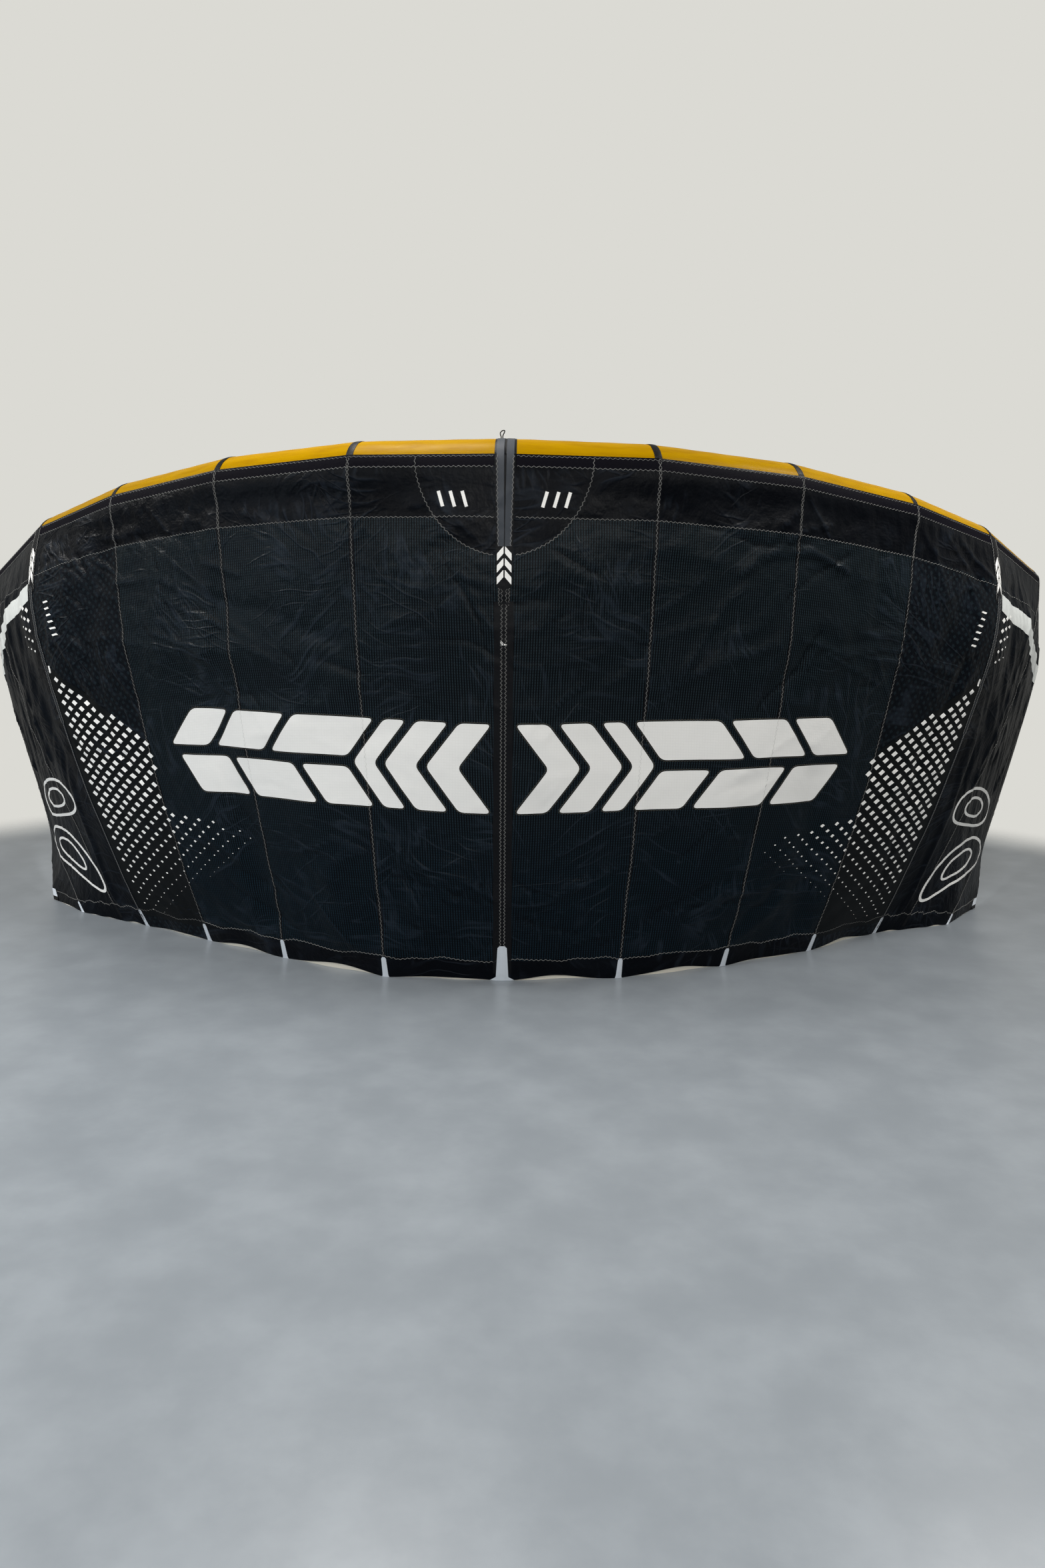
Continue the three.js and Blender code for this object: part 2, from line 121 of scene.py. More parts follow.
MID = len(LEFT)
TIP = float(MID)
PANELS = ((0, 1), (1, 2), (2, 3), (3, 4), (4, 5), (5, 7), (7, 8))
BANDED = (1, 2, 3, 4, 5)
FIELD_END = 3                   # the ripstop field reaches this station
STRUTS = (
    ("strut_centre", 0, 50, 22),
    ("strut_inner_l", -4, 46, 20),
    ("strut_inner_r", 4, 46, 20),
    ("strut_outer_l", -7, 34, 16),
    ("strut_outer_r", 7, 34, 16),
)                               # name, station, radius at the tube and at the end, in mm


@dataclass(frozen=True)
class Crease:
    """A fold of the slack cloth along a line: a soft trough (minus) or ridge (plus), in millimetres.

    A sharp crease has a narrow crest and wide flanks.
    """

    station: float
    v: float
    to_station: float
    to_v: float
    width: float
    depth: float
    sharp: bool = False


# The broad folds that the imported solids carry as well.
FOLDS = tuple(Crease(*row) for row in (
    (-2.35, 0.42, -2.05, 0.90, 70, -16), (-1.60, 0.50, -1.30, 0.92, 80, 10),
    (-0.25, 0.70, -1.10, 0.90, 55, -9), (-3.10, 0.10, -3.60, 0.42, 60, -10),
    (-4.35, 0.12, -4.30, 0.60, 45, -9), (0.30, 0.66, 1.15, 0.88, 60, -10),
    (1.55, 0.40, 1.75, 0.85, 80, 9), (2.45, 0.60, 2.70, 0.92, 60, -12),
    (3.75, 0.06, 3.45, 0.30, 45, -10), (4.40, 0.12, 4.45, 0.62, 50, -10),
))

# Smaller creases, only in the cloth made here: start, end, width, depth, sharp.
CREASES = tuple(Crease(*row) for row in (
    # left outer panel and the pulls from the top of the strut
    (-3.83, 0.064, -3.08, 0.026, 12, 5.0, True), (-3.86, 0.085, -3.30, 0.055, 14, 4.0, True),
    (-3.30, 0.104, -3.24, 0.206, 13, 5.0, True), (-3.24, 0.206, -3.03, 0.220, 12, 4.5, True),
    (-3.52, 0.303, -3.09, 0.300, 18, 4.5, True), (-3.75, 0.150, -3.40, 0.330, 22, -6.0),
    (-3.62, 0.080, -3.55, 0.180, 12, 4.0, True), (-3.45, 0.060, -3.36, 0.150, 11, -4.0, True),
    (-3.20, 0.340, -3.06, 0.430, 16, 5.0, True), (-3.82, 0.230, -3.55, 0.400, 20, 5.0, True),
    (-3.35, 0.360, -3.45, 0.520, 22, -6.0), (-3.62, 0.420, -3.20, 0.620, 24, -6.5, True),
    (-3.90, 0.520, -3.40, 0.800, 20, -5.5, True),
    # left panels between the second and third seams
    (-2.06, 0.107, -2.27, 0.400, 34, 9.0), (-2.17, 0.031, -2.32, 0.108, 12, 4.5, True),
    (-2.45, 0.040, -2.52, 0.130, 14, -4.0), (-3.03, 0.180, -2.77, 0.196, 13, 4.0, True),
    (-2.72, 0.030, -2.80, 0.140, 15, 4.0, True), (-2.62, 0.150, -2.70, 0.400, 30, 5.0),
    (-1.95, 0.300, -1.80, 0.330, 14, 3.5, True),
    # centre
    (-0.84, 0.081, -0.48, 0.109, 12, -3.5, True), (-0.59, 0.130, -0.27, 0.162, 14, -3.5, True),
    (-0.95, 0.120, -0.70, 0.180, 16, 3.0, True), (-0.62, 0.250, -0.25, 0.215, 18, 3.0, True),
    (0.14, 0.024, 0.24, 0.038, 10, -3.0, True), (0.24, 0.038, 0.35, 0.020, 10, -3.0, True),
    (0.30, 0.170, 0.62, 0.210, 16, -3.0, True), (0.75, 0.150, 1.40, 0.175, 20, 3.0),
    # low, towards the trailing edge
    (-0.70, 0.774, -0.35, 0.752, 16, 4.0, True), (-0.92, 0.784, -0.51, 0.808, 18, -4.5, True),
    (-0.51, 0.808, -0.17, 0.829, 18, -4.0, True), (0.23, 0.779, 0.80, 0.810, 20, 4.0, True),
    (-1.11, 0.714, -1.41, 0.806, 36, 6.0), (1.01, 0.717, 1.28, 0.682, 16, 4.0, True),
    (0.20, 0.870, 0.60, 0.900, 20, -4.0, True), (-1.90, 0.860, -2.60, 0.780, 26, -6.0, True),
    (1.30, 0.860, 1.85, 0.800, 24, -5.0, True), (2.10, 0.880, 2.70, 0.820, 22, -5.0, True),
    # right panel next to the strut, fanning out from the third seam
    (3.01, 0.033, 3.22, 0.090, 14, 4.0), (3.22, 0.090, 3.36, 0.180, 16, 4.5),
    (3.32, 0.033, 3.59, 0.101, 13, 5.0, True), (3.59, 0.055, 3.94, 0.113, 13, 5.0, True),
    (3.64, 0.131, 3.76, 0.210, 15, 5.5, True), (3.48, 0.045, 3.82, 0.140, 12, -4.0, True),
    (2.70, 0.124, 2.72, 0.270, 24, -5.0), (2.40, 0.300, 2.90, 0.280, 16, 3.5, True),
    (2.60, 0.360, 2.92, 0.335, 14, 3.5, True), (3.10, 0.330, 3.60, 0.345, 16, 3.5, True),
    (3.70, 0.320, 3.50, 0.560, 22, -7.0, True), (3.52, 0.560, 3.62, 0.860, 18, -6.0, True),
    # tips
    (-4.62, 0.130, -4.75, 0.560, 20, 7.0, True), (-4.95, 0.100, -5.30, 0.500, 20, -7.0, True),
    (-5.60, 0.120, -5.90, 0.520, 18, 6.0, True), (-4.30, 0.600, -4.75, 0.930, 34, 8.0),
    (4.66, 0.150, 4.85, 0.600, 20, 7.0, True), (4.95, 0.120, 5.25, 0.520, 20, -7.0, True),
    (5.55, 0.120, 5.95, 0.560, 18, 6.0, True), (4.25, 0.500, 4.55, 0.930, 34, 8.0),
))


def scattered(seed: int, small: int, large: int) -> tuple[Crease, ...]:
    """Straight creases strewn over the middle panels.

    Most of them run down towards the middle of the kite; they are higher in the outer panels.

    Args:
        seed: Seed of their places.
        small: How many sharp ones.
        large: How many long, soft ones.

    Returns:
        The creases.
    """
    draw = np.random.default_rng(seed)
    creases = []
    for number in range(small + large):
        sharp = number < small
        station, v = draw.uniform(-3.9, 3.9), draw.uniform(0.03, 0.93)
        angle = math.radians(draw.normal(22, 30))
        length = (0.08 if sharp else 0.20) * 4.5 ** draw.uniform()
        turn = 1 if station < 0 else -1
        end = (station + turn * length * math.cos(angle) / 0.40, v + length * math.sin(angle) / 1.49)
        width = draw.uniform(9, 14) if sharp else draw.uniform(20, 42)
        depth = (draw.uniform(1.6, 3.8) if sharp else draw.uniform(1.5, 3.8)) * draw.choice((-1, 1, 1))
        outer = 1.35 if abs(station) > 2 else 1.0
        creases.append(Crease(station, v, *end, width, depth * outer, sharp))
    return tuple(creases)


@dataclass(frozen=True)
class Crumple:
    """A patch of crumpled cloth: its middle, its reach in stations and rows, its height in mm."""

    station: float
    v: float
    reach: float
    drop: float
    height: float


BASE_CRUMPLE = 0.80             # everywhere else, in mm
CRUMPLED = tuple(Crumple(*row) for row in (
    (-3.50, 0.30, 0.60, 0.26, 4.6), (-3.40, 0.08, 0.60, 0.07, 2.8), (-2.50, 0.08, 0.60, 0.08, 2.8),
    (-2.60, 0.30, 0.55, 0.25, 2.6), (3.50, 0.08, 0.50, 0.07, 2.6), (3.50, 0.30, 0.50, 0.20, 2.4),
    (2.50, 0.09, 0.50, 0.06, 1.8), (1.50, 0.09, 0.50, 0.06, 1.2), (-1.50, 0.09, 0.50, 0.06, 1.6),
    (-0.50, 0.20, 0.55, 0.12, 1.5), (0.50, 0.18, 0.45, 0.10, 1.0), (-0.60, 0.80, 0.60, 0.10, 1.5),
    (0.60, 0.80, 0.60, 0.10, 1.3), (-1.40, 0.78, 0.50, 0.15, 1.7), (1.60, 0.80, 0.60, 0.12, 1.3),
    (3.40, 0.70, 0.40, 0.20, 1.6),
))


# ---- the form of the wing -----------------------------------------------------------------------
def unit(vectors: Array) -> Array:
    """Vectors along the last axis, scaled to length one."""
    return vectors / np.linalg.norm(vectors, axis=-1, keepdims=True)


def smoothstep(x: Array, low: float, high: float) -> Array:
    """Ease from 0 at low to 1 at high."""
    t = np.clip((x - low) / (high - low), 0, 1)
    return t * t * (3 - 2 * t)


class Wing:
    """The canopy's middle surface and the leading-edge tube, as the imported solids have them."""

    def __init__(self) -> None:
        """Work out the frame of each station."""
        rows = (*reversed(LEFT), CENTRE, *RIGHT)
        count = len(rows)
        self.last = count - 1
        shift = np.array([0, SEAM_FOOT, 0])
        self.edge = np.array([row.edge for row in rows], float) * MM + shift
        self.foot = np.array([(*row.foot, 0) for row in rows], float) * MM + shift
        self.camber = np.array([row.camber for row in rows]) * MM
        self.crest = np.array([row.crest for row in rows])
        self.tube = np.array([row.tube for row in rows]) * MM
        before = np.maximum(np.arange(count) - 1, 0)
        after = np.minimum(np.arange(count) + 1, count - 1)
        self.chord = self.foot - self.edge
        self.length = np.linalg.norm(self.chord, axis=1)
        along = unit(self.chord)
        run = unit(self.edge[after] - self.edge[before])
        span = run + unit(self.foot[after] - self.foot[before])
        self.out = unit(np.cross(along, span))
        across = np.sum(self.out * run, axis=1, keepdims=True)
        self.ring_out = unit(self.out - run * across)
        down = unit(np.cross(run, self.ring_out))
        self.ring_down = down * np.sign(np.sum(down * along, axis=1, keepdims=True))
        self.seat = self.tube + TUBE_CLEAR + PACKED_CLOTH / 2
        self.axis = (
            self.edge
            + self.ring_down * (self.seat * math.cos(SEAT_ANGLE))[:, None]
            - self.ring_out * (self.seat * math.sin(SEAT_ANGLE))[:, None]
        )
        self.slant = np.sum(along * self.ring_down, axis=1)
        steps = np.linalg.norm(np.diff(self.axis, axis=0), axis=1)
        self.tube_run = np.concatenate([[0], np.cumsum(steps)])
        self.flat_rows = np.linspace(0, 1, 41)
        points = self._section(np.arange(count)[None, :], self.flat_rows[:, None])
        bays = np.linalg.norm(np.diff(points, axis=1), axis=2)
        spread = np.concatenate([np.zeros((len(self.flat_rows), 1)), np.cumsum(bays, axis=1)], axis=1)
        self.spread = spread - spread[:, MID : MID + 1]

    def _height(self, index: Array, v: Array) -> Array:
        """Height of the cloth over the chord: on the tube first, then on the camber.

        Args:
            index: Indexes of whole stations.
            v: Chord fractions.

        Returns:
            Heights in metres.
        """
        camber, crest = self.camber[index], self.crest[index]
        front = camber * (2 * crest * v - v * v) / crest**2
        back = camber * (1 - 2 * crest + 2 * crest * v - v * v) / (1 - crest) ** 2
        rise = np.where(v < crest, front, back)
        run = v * self.length[index]
        seat = self.seat[index]
        reach = run * self.slant[index] - seat * math.cos(SEAT_ANGLE)
        bow = np.sqrt(np.maximum(seat**2 - reach**2, 0)) - seat * math.sin(SEAT_ANGLE)
        on_tube = np.where(np.abs(reach) < seat, bow, -seat)
        soften = np.minimum(8 * MM, 0.15 * run)
        return (rise + on_tube + np.hypot(rise - on_tube, soften)) / 2

    def _section(self, index: Array, v: Array) -> Array:
        """Points on the sections of whole stations, by index and chord fraction."""
        index, v = np.broadcast_arrays(np.clip(index, 0, self.last), v)
        height = self._height(index, v)
        return self.edge[index] + self.chord[index] * v[..., None] + self.out[index] * height[..., None]

    def split(self, station: Array) -> tuple[Array, Array]:
        """The lower station's index and the part of the bay beyond it."""
        place = np.clip(station + MID, 0, self.last)
        index = np.minimum(self.last - 1, np.floor(place)).astype(int)
        return index, place - index

    def chord_length(self, station: Array | float) -> Array:
        """Chord length at a station, in metres."""
        index, part = self.split(np.asarray(station, float))
        return self.length[index] + (self.length[index + 1] - self.length[index]) * part

    def across(self, station: Array, v: Array) -> Array:
        """Distance over the cloth from the centre seam.

        Args:
            station: Stations.
            v: Chord fractions.

        Returns:
            Signed distances along the span, in metres.
        """
        index, part = self.split(station)
        row = np.clip(v, 0, 1) * (len(self.flat_rows) - 1)
        low = np.minimum(row.astype(int), len(self.flat_rows) - 2)
        t = row - low
        left = self.spread[low, index] * (1 - t) + self.spread[low + 1, index] * t
        right = self.spread[low, index + 1] * (1 - t) + self.spread[low + 1, index + 1] * t
        return left + (right - left) * part

    def flat(self, station: Array, v: Array) -> Array:
        """Flat places of a grid on the cloth, in metres."""
        return np.stack([self.across(station, v), v * self.chord_length(station)], -1)

    def bay(self, station: Array, v: Array) -> Array:
        """Width of one station bay at a place, in metres."""
        half = 0.25
        low = self.across(np.maximum(station - half, -TIP), v) / (2 * half) * np.ones_like(v)
        return self.across(np.minimum(station + half, TIP), v) / (2 * half) - low

    def fold_depth(self, folds: Sequence[Crease], station: Array, v: Array) -> Array:
        """Height of a set of creases, outwards, faded out at both edges of the cloth.

        Args:
            folds: The creases.
            station: Stations.
            v: Chord fractions.

        Returns:
            Heights in metres.
        """
        length = self.chord_length(station)
        depth = np.zeros(np.broadcast(station, v).shape)
        for fold in folds:
            start_x, start_y = fold.station * BAY, fold.v * length
            line_x, line_y = fold.to_station * BAY - start_x, fold.to_v * length - start_y
            x, y = station * BAY - start_x, v * length - start_y
            t = np.clip((x * line_x + y * line_y) / (line_x**2 + line_y**2), 0, 1)
            off = np.hypot(x - t * line_x, y - t * line_y) / (fold.width * MM)
            shape = np.exp(1 - np.sqrt(1 + 6 * off**2)) if fold.sharp else np.exp(-(off**2))
            depth += fold.depth * MM * shape
        return depth * np.minimum(1, v / 0.08) * np.minimum(1, (1 - v) / 0.06)

    def cloth(self, station: Array, v: Array) -> Array:
        """Middle surface of the cloth with its broad folds.

        Args:
            station: Stations, broadcast against v.
            v: Chord fractions.

        Returns:
            Points along a new last axis.
        """
        station, v = np.broadcast_arrays(np.asarray(station, float), np.asarray(v, float))
        index, part = self.split(station)
        t = part[..., None]
        p0, p1, p2, p3 = (self._section(index + k, v) for k in (-1, 0, 1, 2))
        straight = p1 + (p2 - p1) * t
        lead, trail = (p2 - p0) / 2, (p3 - p1) / 2
        curved = (
            p1
            + lead * t
            + (3 * (p2 - p1) - 2 * lead - trail) * t**2
            + (2 * (p1 - p2) + lead + trail) * t**3
        )
        ease = (smoothstep(v, 0.05, 0.2) * (1 - smoothstep(v, 0.86, 1)))[..., None]
        out = unit(self.out[index] + (self.out[index + 1] - self.out[index]) * t)
        return straight + (curved - straight) * ease + out * self.fold_depth(FOLDS, station, v)[..., None]

    def normal(self, station: Array, v: Array) -> Array:
        """Outward unit normal of the middle surface."""
        side, drop = 0.03, 0.01
        across = self.cloth(station + side, v) - self.cloth(station - side, v)
        down = self.cloth(station, np.minimum(1, v + drop)) - self.cloth(station, np.maximum(0, v - drop))
        return unit(np.cross(down, across))

    def rings(self, stations: Array, sides: int, grow: Array | float) -> Array:
        """Rings of the leading-edge tube.

        Args:
            stations: Their stations.
            sides: Points round a ring, from the canopy's front edge round.
            grow: Added to the radius.

        Returns:
            The points of each ring.
        """
        turn = SEAT_ANGLE + np.linspace(0, 2 * math.pi, sides, endpoint=False)
        down, out = (self.tube[:, None] * wave for wave in (np.cos(turn), np.sin(turn)))
        whole = (
            self.axis[:, None]
            - self.ring_down[:, None] * down[..., None]
            + self.ring_out[:, None] * out[..., None]
        )
        index, part = self.split(stations)
        rings = whole[index] + (whole[index + 1] - whole[index]) * part[:, None, None]
        return rings + unit(rings - rings.mean(1, keepdims=True)) * np.asarray(grow)[..., None]

    def run_at(self, station: float) -> float:
        """Distance along the tube's axis at a station."""
        return float(np.interp(station + MID, np.arange(self.last + 1), self.tube_run))

    def station_at(self, run: Array) -> Array:
        """Stations at distances along the tube's axis."""
        return np.interp(run, self.tube_run, np.arange(self.last + 1)) - MID


class GradientNoise:
    """Seeded, smooth noise from about -1 to 1 over the plane."""

    size = 512

    def __init__(self, seed: int) -> None:
        """Shuffle the lattice with a seed."""
        draw = np.random.default_rng(seed)
        self.table = draw.permutation(self.size)
        angle = draw.uniform(0, 2 * math.pi, self.size)
        self.slopes = np.stack([np.cos(angle), np.sin(angle)], -1)

    def __call__(self, x: Array, y: Array) -> Array:
        """Noise at places.

        Args:
            x: Places along the first axis, in lattice cells.
            y: Places along the second axis.

        Returns:
            The values.
        """
        x0, y0 = np.floor(x).astype(int), np.floor(y).astype(int)
        fx, fy = x - x0, y - y0

        def corner(dx: int, dy: int) -> Array:
            """Pull of one lattice corner."""
            pick = self.table[(self.table[(x0 + dx) % self.size] + y0 + dy) % self.size]
            slope = self.slopes[pick]
            return slope[..., 0] * (fx - dx) + slope[..., 1] * (fy - dy)

        ease_x, ease_y = fx**3 * (fx * (fx * 6 - 15) + 10), fy**3 * (fy * (fy * 6 - 15) + 10)
        top = corner(0, 0) * (1 - ease_x) + corner(1, 0) * ease_x
        low = corner(0, 1) * (1 - ease_x) + corner(1, 1) * ease_x
        return (top * (1 - ease_y) + low * ease_y) * 1.5


class Relief:
    """The fine unevenness of used cloth: listed creases, crumpled patches, runs and a soft billow."""

    seeds = (11, 23, 37, 41, 59, 67)
    lean = 0.42                 # how far the crumples lean towards the middle
    squash = 1.9                # how much shorter they are across that
    run_height = 5.4 * MM       # of the runs down the tips
    gather_height = 1.8 * MM    # of the gathers under the front edge
    billow = 4.5 * MM
    hem_slack = 5.0 * MM
    rest = 0.8 * MM             # how far the cloth may sink onto the tube
    strut_rest = 1.2 * MM       # and onto a strut
    free = 60 * MM              # and everywhere else

    def __init__(self, wing: Wing) -> None:
        """Prepare the noises for the form that the relief lies on."""
        self.wing = wing
        self.noises = [GradientNoise(seed) for seed in self.seeds]
        self.scattered = scattered(5, 300, 60)

    def _ridged(self, x: Array, y: Array, cell: float) -> Array:
        """Crisp ridges and troughs with soft flanks.

        Args:
            x: Places along the ridges, in metres.
            y: Places across them.
            cell: About how far apart they are.

        Returns:
            Heights of about -1 to 1.
        """
        bend, turn, lines, sign = self.noises[:4]
        warp_x = x / cell + 0.9 * bend(x / cell / 2.3, y / cell / 2.3)
        warp_y = y / cell + 0.9 * turn(x / cell / 2.1 + 7, y / cell / 2.1)
        crest = 1 - 2.4 * np.sqrt(lines(warp_x, warp_y) ** 2 + 0.0025)
        return crest * (0.35 + 0.9 * sign(x / cell / 2.6 + 3, y / cell / 2.6 + 5))

    def crumple_height(self, station: Array, v: Array) -> Array:
        """Height of the crumpling at a place, in metres."""
        height = np.full(station.shape, BASE_CRUMPLE)
        for patch in CRUMPLED:
            away = ((station - patch.station) / patch.reach) ** 2 + ((v - patch.v) / patch.drop) ** 2
            height += patch.height * np.exp(-away)
        return height * MM

    def _room(self, station: Array, v: Array) -> Array:
        """How far the cloth may sink: hardly at all where it lies on the tube and on the struts."""
        room = self.rest + self.free * smoothstep(v, 0.085, 0.18)
        for _, at, _, _ in STRUTS:
            off = np.abs(station - at) * BAY
            room = np.minimum(room, self.strut_rest + self.free * smoothstep(off, 0.035, 0.10))
        return room

    def __call__(self, station: Array, v: Array) -> Array:
        """Height over the smooth cloth, outwards.

        Args:
            station: Stations.
            v: Chord fractions.

        Returns:
            Heights in metres.
        """
        x = self.wing.across(station, v)
        y = v * self.wing.chord_length(station)
        side = np.abs(station)
        slant = np.where(x < 0, 1.0, -1.0) * self.lean
        along, over = x + slant * y, (y - slant * x) * self.squash
        crumple = self._ridged(along, over, 0.110) + 0.42 * self._ridged(along + 3, over + 1, 0.055)
        depth = self.crumple_height(station, v) * crumple
        # long runs down the tips, and short gathers under the front edge of the outer panels
        run_noise, fine_noise = self.noises[4:]
        runs = run_noise(x / 0.045 + 0.8 * fine_noise(x / 0.2, y / 0.25), y / 0.38)
        runs += 0.5 * fine_noise(x / 0.022, y / 0.22)
        fade = smoothstep(side, 4.02, 4.35) * (1 - 0.75 * smoothstep(v, 0.45, 0.75))
        depth += self.run_height * fade * runs * smoothstep(v, 0.0, 0.12)
        gathers = fine_noise(x / 0.030 + 5, y / 0.16) + 0.6 * run_noise(x / 0.055, y / 0.20 + 9)
        reach = np.exp(-(((v - 0.055) / 0.05) ** 2)) * (0.35 + smoothstep(side, 1.7, 2.6))
        depth += self.gather_height * gathers * reach * (side < 4.02)
        # the whole sheet is a little slack
        depth += self.billow * self.noises[0](x / 0.26 + 31, y / 0.30 + 17)
        depth += self.wing.fold_depth(CREASES, station, v)
        bend, sway = (0.075 * noise(x / 0.21 + 3, y / 0.21) for noise in (fine_noise, run_noise))
        depth += self.wing.fold_depth(self.scattered, station + bend, v + 0.3 * sway)
        # sewn down at the front edge, held by the tabs at the floor, stiffer under the white cloth
        hold = smoothstep(v, 0.012, 0.05) * (1 - smoothstep(v, 0.93, 1.0))
        backed = smoothstep(v, 0.44, 0.48) * (1 - smoothstep(v, 0.66, 0.70))
        backed = backed * (1 - smoothstep(side, 2.8, 3.1))
        printed = smoothstep(v, 0.36, 0.46) * smoothstep(side, 2.3, 2.6) * (1 - smoothstep(side, 3.9, 4.0))
        hold = hold * (1 - 0.65 * backed) * (1 - 0.4 * printed)
        depth = np.maximum(depth * hold, -self._room(station, v))
        wave = np.sin(station * math.pi) * np.sin(station * 7.3 + 0.5)
        return depth + self.hem_slack * wave * smoothstep(v, 0.88, 1.0) * (side < STRUT_SEAM)


class Skin:
    """The finished cloth as a fine grid, so that whatever is sewn on lies exactly on its facets."""

    wide_cell = 10.0 * MM
    tip_cell = 7.5 * MM
    row_cell = 11.0 * MM
    scallop = 18 * MM           # how far the trailing edge lifts off the floor, at most
    lift_zone = 0.962           # row from which it lifts

    def __init__(self, wing: Wing) -> None:
        """Lay the grid over the wing."""
        self.wing = wing
        self.relief = Relief(wing)
        self.columns = self._make_columns()
        self.rows = np.linspace(0, 1, round(float(wing.length.max()) / self.row_cell) + 1)
        station, row = np.meshgrid(self.columns, self.rows)
        v = self._raised(station, row)
        height = self.relief(station, v)
        self.points = wing.cloth(station, v) + wing.normal(station, v) * height[..., None]
        self.points[..., 2] = np.maximum(self.points[..., 2], 0.0)
        self.crest = self._crests(height)
        down, across = (np.gradient(self.points, axis=axis) for axis in (0, 1))
        self.normals = unit(np.cross(down, across))

    def _make_columns(self) -> Array:
        """Stations of the grid's columns, whole stations among them."""
        parts = []
        for low in range(-MID, MID):
            ends = self.wing.across(np.array([low, low + 1.0]), np.array([0.3, 0.3]))
            cell = self.wide_cell if -4 <= low < 4 else self.tip_cell
            parts.append(np.linspace(low, low + 1, max(2, round(float(np.ptp(ends)) / cell)) + 1)[:-1])
        return np.append(np.concatenate(parts), TIP)

    def _raised(self, station: Array, row: Array) -> Array:
        """Chord fraction of a grid row once the trailing edge is scalloped between the tabs."""
        wave = np.sin(np.clip(station, -TIP, TIP) * math.pi) ** 2
        uneven = 0.62 + 0.38 * np.sin(station * 4.1 + 1.0)
        height = self.scallop * wave * uneven * np.where(np.abs(station) < STRUT_SEAM, 1.0, 0.35)
        part = np.clip((row - self.lift_zone) / (1 - self.lift_zone), 0, 1)
        return row - height / self.wing.chord_length(station) * part

    def _crests(self, height: Array) -> Array:
        """How sharply the cloth bends outwards at each grid point, in 1/m."""
        wide = np.pad(height, 1, mode="edge")
        around = wide[:-2, 1:-1] + wide[2:, 1:-1] + wide[1:-1, :-2] + wide[1:-1, 2:]
        return (4 * height - around) / self.wide_cell**2

    def at(self, station: Array, row: Array, lift: float | Array = 0.0) -> Array:
        """Points off the outer face of the cloth, at a height over it in metres."""
        point, normal = self.facet(station, row)
        return point + normal * (np.asarray(lift) + SHELL / 2)[..., None]

    def facet(self, station: Array, row: Array) -> tuple[Array, Array]:
        """Point of the middle surface and its normal on the grid's own triangles.

        Args:
            station: Stations.
            row: Chord fractions before the scallops are cut.

        Returns:
            Points and unit normals.
        """
        station, row = np.broadcast_arrays(np.asarray(station, float), np.asarray(row, float))
        station, row = np.clip(station, -TIP, TIP), np.clip(row, 0, 1)

        def cell(lines: Array, place: Array) -> tuple[Array, Array]:
            """Number of the cell that holds a place, and the part of it before the place."""
            low = np.clip(np.searchsorted(lines, place, side="right") - 1, 0, len(lines) - 2)
            return low, ((place - lines[low]) / (lines[low + 1] - lines[low]))[..., None]

        c, a = cell(self.columns, station)
        r, b = cell(self.rows, row)

        def blend(grid: Array) -> Array:
            """Value on the triangle that holds the place."""
            p00, p01, p10, p11 = grid[r, c], grid[r, c + 1], grid[r + 1, c], grid[r + 1, c + 1]
            upper = p00 + a * (p01 - p00) + b * (p11 - p01)
            lower = p00 + b * (p10 - p00) + a * (p11 - p10)
            return np.where(a >= b, upper, lower)

        return blend(self.points), unit(blend(self.normals))

    def walk(self, station: Array, row: Array, across: Array, down: Array) -> tuple[Array, Array]:
        """Stations and rows at distances across and down the cloth from a place, in metres."""
        width = self.wing.bay(station, row)
        return station + across / width, row + down / self.wing.chord_length(station)


# ---- meshes -------------------------------------------------------------------------------------
Mesh = tuple[Array, Array, Array]   # points, triangles, and each point's place on the flat cloth
Bed = Callable[[Array, Array], tuple[Array, Array]]     # turns flat places into stations and rows


class Slot(Enum):
    """The record's material slots."""

    TUBE = "tube_yellow"
    JOINT = "joint_black"
    CANOPY = "canopy_black"
    STRUT = "strut_cloth"
    TAB = "tab_white"
    STRAP = "strap_grey"
    CORD = "cord_black"


def outward(points: Array, faces: Array, flat: Array) -> Mesh:
    """A closed mesh with its faces turned outwards.

    Args:
        points: Its points.
        faces: Its triangles, which all turn the same way.
        flat: The points' places on the flat cloth.

    Returns:
        The mesh.
    """
    corner = points[faces] - points[0]
    volume = np.sum(corner[:, 0] * np.cross(corner[:, 1], corner[:, 2]))
    return points, faces if volume > 0 else faces[:, ::-1], flat


def on_floor(points: Array) -> Array:
    """Points, none of them below the floor."""
    return np.concatenate([points[..., :2], np.maximum(points[..., 2:], 0)], axis=-1)


